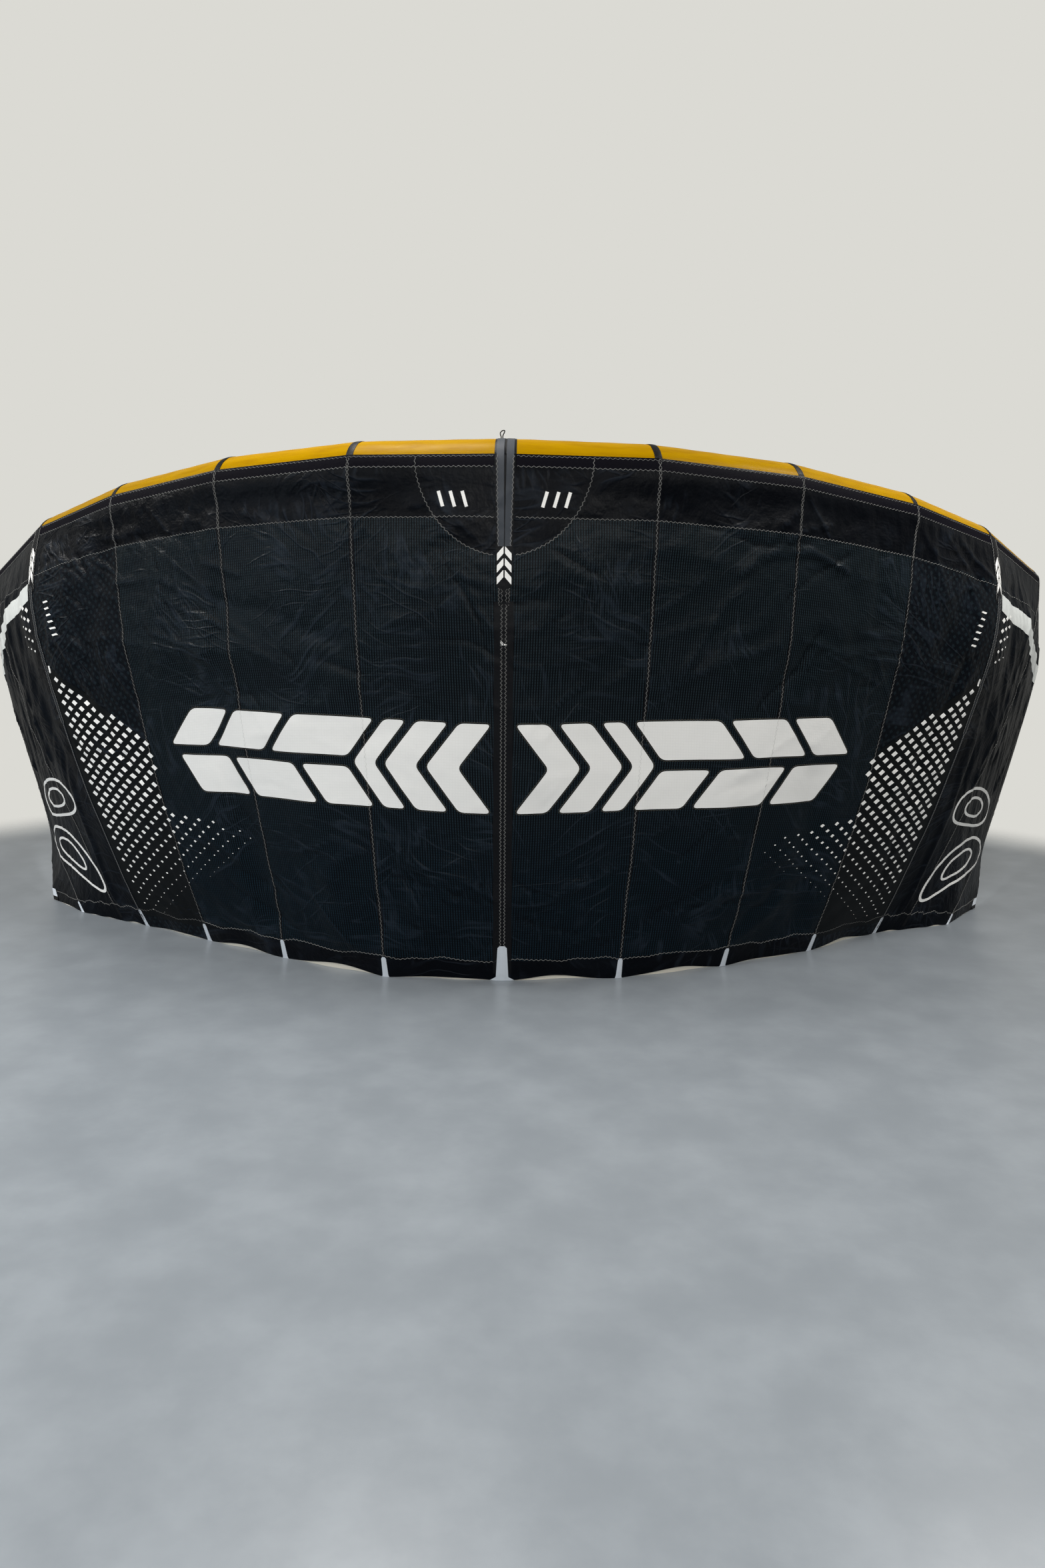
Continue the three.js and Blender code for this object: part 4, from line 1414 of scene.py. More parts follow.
class Finishes:
    """Every material of the kite, made once."""

    def __init__(self) -> None:
        """Make them."""
        fine, cord = (1.5 * MM, 0.03 * MM, False), (1.2 * MM, 0.1 * MM, True)
        self.canopy = RipstopFinish().make()
        self.tube = TubeFinish("tube_polyester", "#a37c00", "#8a6200").make()
        self.strut = TubeFinish("strut_polyester", "#262c33", "#1d2228", 0.42, "#33373c").make()
        self.tape = PlainFinish("seam_tape", "#0a0910", "#0f0e15", specular=0.03).make()
        self.welt = PlainFinish("welt_tape", "#2c2f33", "#15171a", 0.6, 2.4 * MM, 0.35 * MM, True).make()
        self.strap = PlainFinish("strap_twill", "#43474d", "#2e3136", 0.5, 1.8 * MM, 0.12 * MM, True).make()
        self.band = PlainFinish("band_black", "#090a0d", "#121317", 0.45).make()
        self.thread = PlainFinish("thread_grey", "#767674", "#50504f", 0.6, *cord).make()
        self.dark_thread = PlainFinish("thread_dark", "#4d4a42", "#22211e", 0.6, *cord).make()
        self.white = PlainFinish("white_cloth", "#f2f1ee", "#d6d4cf", 0.5, *fine, 8 * MM, 0.8 * MM, 0.1,
                                 0.25).make()
        self.print = PlainFinish("white_print", "#f8f7f4", "#e6e4e0", 0.45, 1.5 * MM, 0.02 * MM,
                                 crumple=0.2 * MM, sheen=0.05, stain=0.2).make()
        self.shade = PlainFinish("black_print", "#06090b", "#0b0e11", 0.5, 1.5 * MM, 0.02 * MM).make()
        self.silver = PlainFinish("silver_cloth", "#dde0dd", "#b9bcba", 0.42, *fine, crumple=1.2 * MM,
                                  sheen=0.1, stain=0.3).make()
        self.tab = PlainFinish("tab_webbing", "#d6dce3", "#a6b0bb", 0.5, 2.6 * MM, 0.12 * MM,
                               crumple=2.2 * MM, sheen=0.1, stain=0.7).make()
        self.hem = PlainFinish("hem_cloth", "#e2ddd0", "#c9c2b2", 0.6, 1.5 * MM, 0.04 * MM,
                               grid=8 * MM).make()
        self.cord = PlainFinish("cord_braid", "#0d0d0e", "#1c1c1e", 0.55, 1.4 * MM, 0.3 * MM, True).make()


# ---- the pieces ---------------------------------------------------------------------------------
@dataclass
class Trim:
    """A set of pieces that lie on the cloth."""

    skin: Skin
    finishes: Finishes


@dataclass
class Canopy(Trim):
    """The black canopy: fourteen panels of cloth, seven on each side of the centre seam."""

    def build(self) -> None:
        for suffix, side in SIDES:
            for number, (start, end) in enumerate(PANELS, 1):
                self._panel(f"canopy_{suffix}{number}", side, start, end)

    def _field(self, station: Array, row: Array) -> Array:
        """Signed distance in metres into the ripstop part of the cloth."""
        length = self.skin.wing.chord_length(station)
        below = (row - FRONT_LINE) * length
        half, foot = PATCH
        out_of_patch = (np.hypot(station / half, row / foot) - 1) * foot * length
        over_hem = (1 - row) * length - HEM
        return np.minimum(np.minimum(below, out_of_patch), over_hem)

    def _panel(self, name: str, side: int, start: int, end: int) -> None:
        """One panel between two seams.

        Args:
            name: The node it stands for.
            side: -1 on the left, 1 on the right.
            start: Station of its inner seam.
            end: Station of its outer seam.
        """
        skin, wing = self.skin, self.skin.wing
        low, high = sorted((side * start, side * end))
        first, last = np.searchsorted(skin.columns, (low - NEAR, high + NEAR))
        points, normals = skin.points[:, first:last], skin.normals[:, first:last]
        station, row = np.meshgrid(skin.columns[first:last], skin.rows)
        middle = (low + high) / 2
        x = wing.across(station, row) - wing.across(np.full_like(row, middle), row)
        flat = np.stack([x + middle * CUT_WIDTH, row * wing.chord_length(station)], -1)
        top, base = (on_floor(points + normals * half) for half in (SHELL / 2, -SHELL / 2))
        piece = add_piece(name + "_cloth", slab(top, base, flat), self.finishes.canopy, name)
        field = self._field(station, row)
        grids = {
            "field": field if start < FIELD_END else np.full_like(row, -1.0),
            "motif": (start == FIELD_END) * (row > FRONT_LINE),
            "crumple": skin.relief.crumple_height(station, row),
            "pleats": smoothstep(np.abs(station), 4.0, 4.3) * (1 - 0.7 * smoothstep(row, 0.45, 0.75)),
            "crest": skin.crest[:, first:last],
        }
        for label, values in grids.items():
            layer = piece.data.attributes.new(label, "FLOAT", "POINT")
            layer.data.foreach_set("value", np.tile(values.ravel(), 2).astype(np.float32))
        cut = wing.cloth(station, row)


@dataclass
class LeadingEdge:
    """The inflated tube along the front edge, its joint bands and the band over its middle."""

    wing: Wing
    finishes: Finishes
    sides: int = 64
    band_sides: int = 72
    cell: float = 11 * MM
    girth: float = 2 * math.pi * 0.09
    tuck: float = 0.5 * MM          # how far the cloth is drawn in at a joint
    tuck_reach: float = 16 * MM
    root: float = 3.0 * MM          # how far a band reaches into the tube
    edge: float = 0.25 * MM         # how far a band's edges are worn down
    stripe: float = 4.7 * MM        # black edges of the centre band
    groove: float = 3.4 * MM        # half width of its groove at the top
    strap_thick: float = 0.7 * MM

    def build(self) -> None:
        """Make the tube's segments and the bands over its joints."""
        for suffix, side in SIDES:
            for number, (start, end) in enumerate(PANELS, 1):
                self._segment(f"le_tube_{suffix}{number}", side, start, end)
            for station in BANDED:
                self._band(f"joint_band_{suffix}{station}", side * station)
        self._centre_band()

    @staticmethod
    def _inset(station: int) -> float:
        """How far a segment stops short of a station."""
        widths = {0: CENTRE_BAND / 2 + GAP, MID: 0.0}
        return widths.get(station, JOINT_BAND / 2 + GAP if station in BANDED else GAP / 2)

    def _segment(self, name: str, side: int, start: int, end: int) -> None:
        """One segment of the tube, a little puckered at its sewn ends.

        Args:
            name: The node it stands for.
            side: -1 on the left, 1 on the right.
            start: Station of its inner end.
            end: Station of its outer end.
        """
        ends = (
            self.wing.run_at(side * start) + side * self._inset(start),
            self.wing.run_at(side * end) - side * self._inset(end),
        )
        low, high = sorted(ends)
        run = np.linspace(low, high, max(4, round((high - low) / self.cell)) + 1)
        turn = np.linspace(0, 2 * math.pi, self.sides, endpoint=False)[None, :]
        away = np.minimum(run - low, high - run)[:, None]
        wave = np.sin(turn * 17 + run[:, None] * 9) + 0.6 * np.sin(turn * 29 + 2)
        pucker = -self.tuck * np.exp(-away / self.tuck_reach) * (1 + 0.7 * wave)
        billow = -self.tuck * (1 + np.sin(run[:, None] * 61 + np.cos(turn * 3) * 1.5)) / 2
        rings = self.wing.rings(self.wing.station_at(run), self.sides, pucker + billow)
        if end == MID:
            rings, run = self._rounded(rings, run, side)
        mesh = tube(rings, run, turn[0] / (2 * math.pi) * self.girth)
        add_piece(name + "_skin", mesh, self.finishes.tube, name)

    def _rounded(self, rings: Array, run: Array, side: int) -> tuple[Array, Array]:
        """Draw the tube in over its last radius, at the tip.

        Args:
            rings: Its rings from left to right.
            run: Their distances along the tube.
            side: -1 at the left tip, 1 at the right one.

        Returns:
            The rings and distances with those of the tip.
        """
        rings, run = rings[::side], run[::side]
        last, centre = rings[-1], rings[-1].mean(0)
        radius = float(self.wing.tube[0])
        forward = unit(centre - rings[-3].mean(0))
        angles = np.radians(np.linspace(8, 60, 8))
        caps = [(last - centre) * math.cos(a) + centre + forward * radius * math.sin(a) for a in angles]
        rings = np.concatenate([rings, np.array(caps)])
        run = np.concatenate([run, run[-1] + side * radius * np.sin(angles)])
        return rings[::side], run[::side]

    def _wrap(self, station: int, low: float, high: float, lift: float, thick: float) -> Mesh:
        """A band round the tube.

        Args:
            station: The station it is measured from.
            low: Distance along the tube at which it starts.
            high: Distance at which it ends.
            lift: Height of its inner face over the tube.
            thick: Its thickness.

        Returns:
            The mesh.
        """
        middle = self.wing.run_at(station)
        run = np.linspace(middle + low, middle + high, max(2, round((high - low) / (4 * MM))) + 1)
        away = np.minimum(run - run[0], run[-1] - run)[:, None]
        soft = np.minimum(1, away / (1.2 * MM)) * self.edge
        stations = self.wing.station_at(run)
        faces = [
            self.wing.rings(stations, self.band_sides, height)
            for height in (lift + thick - self.edge + soft, lift)
        ]
        return slab(*faces, over(run, np.linspace(0, 0.6, self.band_sides)), wrap=True)

    def _band(self, name: str, station: int) -> None:
        """A black tape over a joint of the tube."""
        half = JOINT_BAND / 2
        mesh = self._wrap(station, -half, half, -self.root, self.root + BAND_PROUD)
        add_piece(name + "_tape", mesh, self.finishes.band, name)

    def _centre_band(self) -> None:
        """The band over the middle: black below, two grey halves with a groove between them."""
        half = CENTRE_BAND / 2
        lift = BAND_PROUD - self.strap_thick
        base = self._wrap(0, -half, half, -self.root, self.root + lift)
        add_piece("centre_band_base", base, self.finishes.band, "joint_band_centre")
        for suffix, side in SIDES:
            ends = sorted((side * self.groove, side * (half - self.stripe)))
            grey = self._wrap(0, *ends, lift, self.strap_thick)
            add_piece(f"centre_band_grey_{suffix}", grey, self.finishes.strap)


@dataclass
class Strut:
    """One inflated strut on the inner side, from the leading-edge tube to the trailing edge."""

    name: str
    at: int
    root: float
    end: float
    wing: Wing
    finishes: Finishes
    sides: int = 40
    steps: int = 70
    girth: float = 0.25
    cap: float = 0.016              # length of its rounded end, as a chord fraction

    def build(self) -> None:
        """Make the strut, from its mouth on the tube to its rounded end."""
        part = np.linspace(0, 1, self.sides, endpoint=False)
        start = self._mouth(part)[None, :]
        along = np.linspace(0, 1, self.steps)[:, None]
        body_end = STRUT_END - self.cap
        v = start + (body_end - start) * along
        pucker = 1 - 0.012 * np.exp(-along / 0.02) * (1 + np.sin(part * 2 * math.pi * 11))
        rings = [self._points(v, part[None, :] * np.ones_like(v), pucker)]
        for angle in np.radians(np.linspace(12, 78, 7)):
            place = body_end + (STRUT_END - body_end) * math.sin(angle)
            rings.append(self._points(np.full(self.sides, place), part, math.cos(angle))[None])
        rings = np.concatenate(rings)
        middles = rings.mean(1)
        run = np.cumsum(np.linalg.norm(np.diff(middles, axis=0, prepend=middles[:1]), axis=1))
        mesh = tube(rings, run, part * self.girth)
        add_piece(self.name + "_skin", mesh, self.finishes.strut, self.name)

    def _radius(self, v: Array) -> Array:
        """Radius at a chord fraction."""
        return self.root + (self.end - self.root) * v / STRUT_END

    def _centre(self, v: Array) -> Array:
        """Middle of the strut at chord fractions."""
        station = np.full_like(v, float(self.at))
        drop = self._radius(v) + PACKED_CLOTH / 2 + STRUT_CLEAR
        return self.wing.cloth(station, v) - self.wing.normal(station, v) * drop[..., None]

    def _points(self, v: Array, part: Array, scale: Array | float) -> Array:
        """Points of the strut's skin.

        Args:
            v: Chord fractions.
            part: Places round the strut, from 0 to 1.
            scale: Radius as a part of the strut's own.

        Returns:
            The points.
        """
        centre = self._centre(v)
        run = unit(self._centre(v + 0.01) - self._centre(v - 0.01))
        up = self.wing.normal(np.full_like(v, float(self.at)), v)
        up = unit(up - run * np.sum(up * run, -1, keepdims=True))
        side = np.cross(run, up)
        turn = (2 * math.pi * part)[..., None]
        radius = (self._radius(v) * scale)[..., None]
        return centre + up * radius * np.cos(turn) + side * radius * np.sin(turn)

    def _mouth(self, part: Array) -> Array:
        """Chord fraction at which each line of the skin leaves the leading-edge tube."""
        low, high = np.full(len(part), 0.02), np.full(len(part), 0.30)
        for _ in range(24):
            middle = (low + high) / 2
            inside = self._inside_tube(self._points(middle, part, 1.0))
            low, high = np.where(inside, middle, low), np.where(inside, high, middle)
        return high

    def _inside_tube(self, points: Array) -> Array:
        """Whether points lie in the leading-edge tube."""
        axis, radius = self.wing.axis, self.wing.tube
        found = np.zeros(len(points), bool)
        for a in (self.at + MID - 1, self.at + MID):
            line = axis[a + 1] - axis[a]
            t = np.clip((points - axis[a]) @ line / (line @ line), 0, 1)
            away = np.linalg.norm(points - axis[a] - t[:, None] * line, axis=1)
            found |= away < radius[a] + (radius[a + 1] - radius[a]) * t + 0.4 * MM
        return found


@dataclass
class TrailingEdge(Trim):
    """Tabs and the light lining of the hem along the trailing edge."""

    tab_lift: float = 0.5 * MM
    tab_thick: float = 1.1 * MM
    tab_cell: float = 6 * MM
    corner: Pair = (26 * MM, 72 * MM)
    lining_top: float = 0.968
    lining_gap: float = 1.4 * MM
    lining_thick: float = 0.6 * MM
    # station, half widths at the top and the foot, and length in mm
    sizes: tuple[tuple[int, ...], ...] = (
        (1, 7, 9, 64), (2, 7, 9, 62), (3, 7, 9, 60), (4, 6, 8, 62), (7, 6, 8, 60),
    )

    def build(self) -> None:
        """Make the trim of the trailing edge."""
        for suffix, side in SIDES:
            for number, (station, *size) in enumerate(self.sizes, 1):
                self._tab(f"tab_{suffix}{number}", side * station, *size)
            self._corner(f"corner_tab_{suffix}", side)
        self._tab("tab_centre", 0, 13.5, 19, 113, 8, 1.4)
        self._lining()

    def _tab(self, name: str, station: int, top: float, foot: float, height: float, columns: int = 4,
             flare: float = 0.3) -> None:
        """A flat loop of webbing over the end of a seam.

        Args:
            name: The node it stands for.
            station: Its seam.
            top: Half its width at the top, in mm.
            foot: Half its width at the foot, in mm.
            height: Its length, in mm.
            columns: Cells across it.
            flare: How much wider it gets at the very foot.
        """
        length = float(self.skin.wing.chord_length(station))
        line = Line.down(self.skin, station, 1 - height * MM / length, 1.0)

        def half(part: Array) -> Array:
            """Half width along the tab: rounded at the top, nearly straight, flared at the foot."""
            shoulder = 1 - 0.45 * np.maximum(0, 1 - part / 0.07) ** 2
            skirt = 0.9 * np.maximum(0, part - 0.90) / 0.10
            return (top + (foot - top) * part + top * skirt * flare) * shoulder * MM

        mesh = ribbon(line, half, self.tab_lift, self.tab_thick, columns, self.tab_cell)
        add_piece(name + "_webbing", mesh, self.finishes.tab, name)

    def _corner(self, name: str, side: int) -> None:
        """The doubled webbing at a tip's lower corner, black at its end."""
        wing = self.skin.wing
        width, height = self.corner
        bay = float(np.linalg.norm(wing.foot[MID + side * MID] - wing.foot[MID + side * (MID - 1)]))
        station = side * (MID - (width / 2 + 2 * MM) / bay)
        line = Line.down(self.skin, station, 1 - height / float(wing.length[0]), 0.985)
        mesh = ribbon(line, width / 2, self.tab_lift, self.tab_thick, 6, self.tab_cell)
        add_piece(name + "_webbing", mesh, self.finishes.tab, name)
        end = Line.down(self.skin, station, 0.975, 1.0)
        tip = ribbon(end, width / 2 + 1 * MM, self.tab_lift + self.tab_thick, 0.8 * MM, 6, 3 * MM)
        add_piece(name + "_end", tip, self.finishes.band)

    def _lining(self) -> None:
        """The light strip behind the hem, which shows where the cloth lifts off the floor."""
        skin, wing = self.skin, self.skin.wing
        station, row = np.meshgrid(skin.columns, np.linspace(self.lining_top, 1.0, 6))
        inward = -wing.normal(station, row)
        cloth = wing.cloth(station, row) - inward * skin.relief(station, row)[..., None]
        reach = SHELL / 2 + self.lining_gap
        faces = [on_floor(cloth + inward * depth) for depth in (reach, reach + self.lining_thick)]
        add_piece("hem_lining", slab(*faces, wing.flat(station, row)), self.finishes.hem)


@dataclass
class CentreSeam(Trim):
    """The strap and its black base down the middle of the kite."""

    top: float = 0.003
    strap_end: float = 0.163
    foot_end: float = 0.267
    lifts: Pair = (1.9 * MM, 1.0 * MM)      # outer and inner face of the strap
    columns: int = 6

    def build(self) -> None:
        """Make the centre seam's pieces."""

        def half(part: Array) -> Array:
            """Half width of the black base, stepping in at its foot."""
            return np.where(part > 0.87, 17.5 * MM, 28.0 * MM - 8.0 * MM * part)

        mesh = ribbon(Line.down(self.skin, 0, self.top, self.foot_end), half, 0.2 * MM, 0.8 * MM, 8, 6 * MM)
        add_piece("centre_base", mesh, self.finishes.band, "centre_strap")
        line = Line.down(self.skin, 0, self.top, self.strap_end)
        for suffix, side in SIDES:
            add_piece(f"centre_strap_{suffix}", self._half(line, side), self.finishes.strap)

    def _over_tube(self, across: Array, lift: float) -> Array:
        """Rows of the strap on the tube, from near its crown to the front edge of the cloth.

        Args:
            across: Distances from the centre.
            lift: Height of the face over the cloth.

        Returns:
            The points.
        """
        wing = self.skin.wing
        turn = np.linspace(math.radians(-12), SEAT_ANGLE - 0.05, 14)[:, None]
        rise = TUBE_CLEAR + (PACKED_CLOTH + SHELL) / 2 + lift - BAND_PROUD
        reach = wing.tube[MID] + BAND_PROUD - (2.1 * MM - lift) * 0.2 + rise * smoothstep(turn, 0.0, 0.8)
        low, high = (MID - 1, MID) if across[-1] < 0 else (MID, MID + 1)
        bend = (wing.edge[high] - wing.edge[low]) / (wing.edge[high, 0] - wing.edge[low, 0])
        ring = wing.ring_out[MID] * np.sin(turn) * reach - wing.ring_down[MID] * np.cos(turn) * reach
        return wing.axis[MID] + ring[:, None, :] + across[None, :, None] * bend

    def _half(self, line: Line, side: int) -> Mesh:
        """One grey half of the strap, with the groove at its inner edge."""
        run = np.linspace(0, line.length, round(line.length / (6 * MM)) + 1)[:, None]
        part = run / line.length
        outer = (23.6 - 5.4 * part) * MM
        inner = (3.4 - 2.2 * np.minimum(1, part * 1.3)) * MM
        off = side * (inner + (outer - inner) * np.linspace(0, 1, self.columns))
        station, row = line.at(run, off)
        faces = [
            np.concatenate([self._over_tube(off[0], lift), self.skin.at(station, row, lift)])
            for lift in self.lifts
        ]
        run = np.concatenate([np.linspace(-0.09, -0.006, 14)[:, None], run])
        off = np.concatenate([np.repeat(off[:1], 14, axis=0), off])
        return slab(*faces, np.stack(np.broadcast_arrays(off, run), -1))


@dataclass
class Chevrons(Trim):
    """A stack of white chevrons, each in two halves that rise towards the seam."""

    name: str
    station: float
    top: float
    foot: float
    half: float = 20 * MM
    count: int = 3
    gap: float = 2.0 * MM
    rise: float = 0.55              # slope of an arm
    share: float = 0.62             # part of the pitch that is white

    def build(self) -> None:
        """Cut both halves of every chevron."""
        wing, cutter = self.skin.wing, Cutter(self.skin)
        length = float(wing.chord_length(self.station))
        pitch = (self.foot - self.top) * length / self.count
        lean = (self.half - self.gap) * self.rise * 2
        tall = pitch * self.share
        meshes = []

        def bed(x: Array, y: Array) -> tuple[Array, Array]:
            """Places beside the seam."""
            row = y / length
            return self.station + x / wing.bay(np.full_like(row, self.station), row), row

        for k in range(self.count):
            head = self.top * length + k * pitch
            for side in (-1, 1):
                inner, outer = side * self.gap, side * self.half
                corners = [(inner, head), (outer, head + lean), (outer, head + lean + tall),
                           (inner, head + tall)]
                meshes.append(cutter.plate(rounded(corners, 1.5 * MM, 2), 1.3 * MM, 0.5 * MM, 5 * MM, bed))
        add_piece(self.name, joined(meshes), self.finishes.print)


@dataclass
class OuterSeam(Trim):
    """The reinforced seam over an inner strut: black base, chevrons and corded tape."""

    suffix: str
    side: int

    def build(self) -> None:
        """Make the seam's pieces."""
        station = STRUT_SEAM * self.side
        patch = ribbon(Line.down(self.skin, station, 0.004, 0.16), 22 * MM, 0.3 * MM, 0.7 * MM, 6, 6 * MM)
        add_piece(f"strut_patch_{self.suffix}", patch, self.finishes.band)
        Chevrons(self.skin, self.finishes, f"strut_chevrons_{self.suffix}", station, 0.052, 0.128,
                 half=15 * MM, gap=1.5 * MM, rise=1.0, share=0.74).build()

        def half(part: Array) -> Array:
            """Half width of the corded tape."""
            return np.interp(part, [0, 0.22, 0.45, 1], [8.5, 8.0, 4.5, 3.0]) * MM

        tape = ribbon(Line.down(self.skin, station, 0.145, 0.985), half, 0.6 * MM, 1.0 * MM, 4, 9 * MM)
        add_piece(f"strut_welt_{self.suffix}", tape, self.finishes.welt)


@dataclass
class SeamTapes(Trim):
    """Narrow tapes under the seams, and the strip along the front edge."""

    lift: float = 0.05 * MM
    front_drop: float = 4 * MM
    front_width: float = 29 * MM

    def build(self) -> None:
        """Make the tapes."""
        specs = [(station, 0.03, 0.99, 5.5, 0.35, 2) for station in (-3, -2, -1, 1, 2, 3)]
        specs += [(station, 0.03, 0.99, 6.5, 0.5, 2) for station in (-7, -5, 5, 7)]
        specs.append((0, 0.26, 0.985, 27, 0.7, 6))
        meshes = [
            ribbon(Line.down(self.skin, station, top, foot), half * MM, self.lift, thick * MM, columns)
            for station, top, foot, half, thick, columns in specs
        ]
        add_piece("seam_tapes", joined(meshes), self.finishes.band)
        bays = ((-8, -4.05), (-3.95, -0.07), (0.07, 3.95), (4.05, 8))
        strips = [self._front(start, end) for start, end in bays]
        add_piece("front_strip", joined(strips), self.finishes.tape)

    def _front(self, start: float, end: float) -> Mesh:
        """The reinforcing strip just below the tube, between two stations."""
        stations = np.linspace(start, end, max(8, round(abs(end - start) * 40)) + 1)
        drops = np.linspace(0, 1, 5)[:, None]
        row = (self.front_drop + self.front_width * drops) / self.skin.wing.chord_length(stations)
        station = stations * np.ones_like(row)
        return slab_on(self.skin, station, row, 0.1 * MM, 0.5 * MM, self.skin.wing.flat(station, row))


@dataclass
class Stitching(Trim):
    """Every zigzag row of thread on the canopy."""

    zigzag: Stitch = Stitch()
    fine: Stitch = Stitch(10 * MM, 2.0 * MM, 1.6 * MM, 0.7 * MM)
    bold: Stitch = Stitch(11.5 * MM, 3.0 * MM, 2.0 * MM, 0.9 * MM)

    def build(self) -> None:
        """Sew the front, the seams, the struts and the hem."""
        bays = ((-8, -4.06), (-3.94, -0.075), (0.075, 3.94), (4.06, 8))
        edges = [self._along(start, end, drop) for start, end in bays for drop in (6 * MM, 34 * MM)]
        front = [self.zigzag.sew(line, lift=0.5 * MM) for line in edges]
        front += [self.zigzag.sew(line, lift=0.45 * MM) for line in self._front_lines()]
        seams = [row for station in (-3, -2, -1, 1, 2, 3, -5, 5, -7, 7) for row in self._seam(station)]
        hem = [self.zigzag.sew(self._hem(start, start + 1)) for start in range(-MID, MID)]
        for name, rows in (("front", front), ("seams", seams), ("struts", self._struts()), ("hem", hem)):
            add_piece(f"stitching_{name}", joined(rows), self.finishes.thread)

    def _struts(self) -> list[Mesh]:
        """Thread on the centre seam and on the seams over the inner struts."""
        rows = []
        for side in (-1, 1):
            rows.append(self.zigzag.sew(self._strap_edge(side, 0.003, 0.163), lift=1.9 * MM))
            outer = STRUT_SEAM * side
            for stitch, station, top, foot, off, lift, phase in (
                (self.bold, 0, 0.238, 0.94, side * 6.0, 0.7, 0.25 * side),
                (self.fine, 0, 0.236, 0.267, side * 14, 1.0, 0.25 * side),
                (self.fine, outer, 0.005, 0.155, -19, 1.0, 0.0),
                (self.fine, outer, 0.005, 0.155, 19, 1.0, 0.0),
                (self.fine, outer, 0.15, 0.48, -7, 1.5, 0.0),
                (self.fine, outer, 0.15, 0.48, 7, 1.5, 0.0),
                (self.fine, outer, 0.48, 0.98, 0, 1.6, 0.0),
            ):
                line = Line.down(self.skin, station, top, foot)
                rows.append(stitch.sew(line, off * MM, lift * MM, phase))
        return rows

    def _along(self, start: float, end: float, drop: float) -> Line:
        """A line at a distance below the front edge."""
        stations = np.linspace(start, end, 12)
        return Line(self.skin, stations, drop / self.skin.wing.chord_length(stations))

    def _front_lines(self) -> list[Line]:
        """The seam across the front panels and round the centre patch."""
        lines = []
        turn = np.linspace(0.03, math.pi / 2 - 0.13, 14)
        arc = np.cos(turn) * PATCH[0], np.sin(turn) * PATCH[1]
        for side in (-1, 1):
            for stations, rows in (
                ((0.07, 3, 3.95), (FRONT_LINE, FRONT_LINE, 0.124)),
                ((4.05, 5, 8), (0.125, 0.12, 0.12)),
                arc,
            ):
                lines.append(Line(self.skin, side * np.array(stations), rows))
        return lines

    def _seam(self, station: int) -> list[Mesh]:
        """One seam: doubled into a chain of rhombi at the top of some, then single."""
        start = {1: 0.085, 7: 0.032}.get(abs(station), 0.115)
        rows = [self.zigzag.sew(Line.down(self.skin, station, start, 0.955), lift=0.4 * MM)]
        if abs(station) in (1, 2, 3, 5):
            top = Line.down(self.skin, station, 0.006, start)
            rows += [self.zigzag.sew(top, off * MM, 0.6 * MM, phase) for off, phase in ((2, 0.0), (-2, 0.5))]
        return rows

    def _strap_edge(self, side: int, top: float, foot: float) -> Line:
        """A line down one edge of the centre strap."""
        rows = np.linspace(top, foot, 8)
        off = np.linspace(22.5, 17.0, 8) * MM * side
        return Line(self.skin, off / self.skin.wing.bay(np.zeros(8), rows), rows)

    def _hem(self, start: float, end: float) -> Line:
        """The wavy hem seam across one bay."""
        stations = np.linspace(start, end, 9)
        wave = 5 * MM * np.sin(stations * 9.7) + 3 * MM * np.sin(stations * 23.1)
        return Line(self.skin, stations, 1 - (HEM + wave) / self.skin.wing.chord_length(stations))


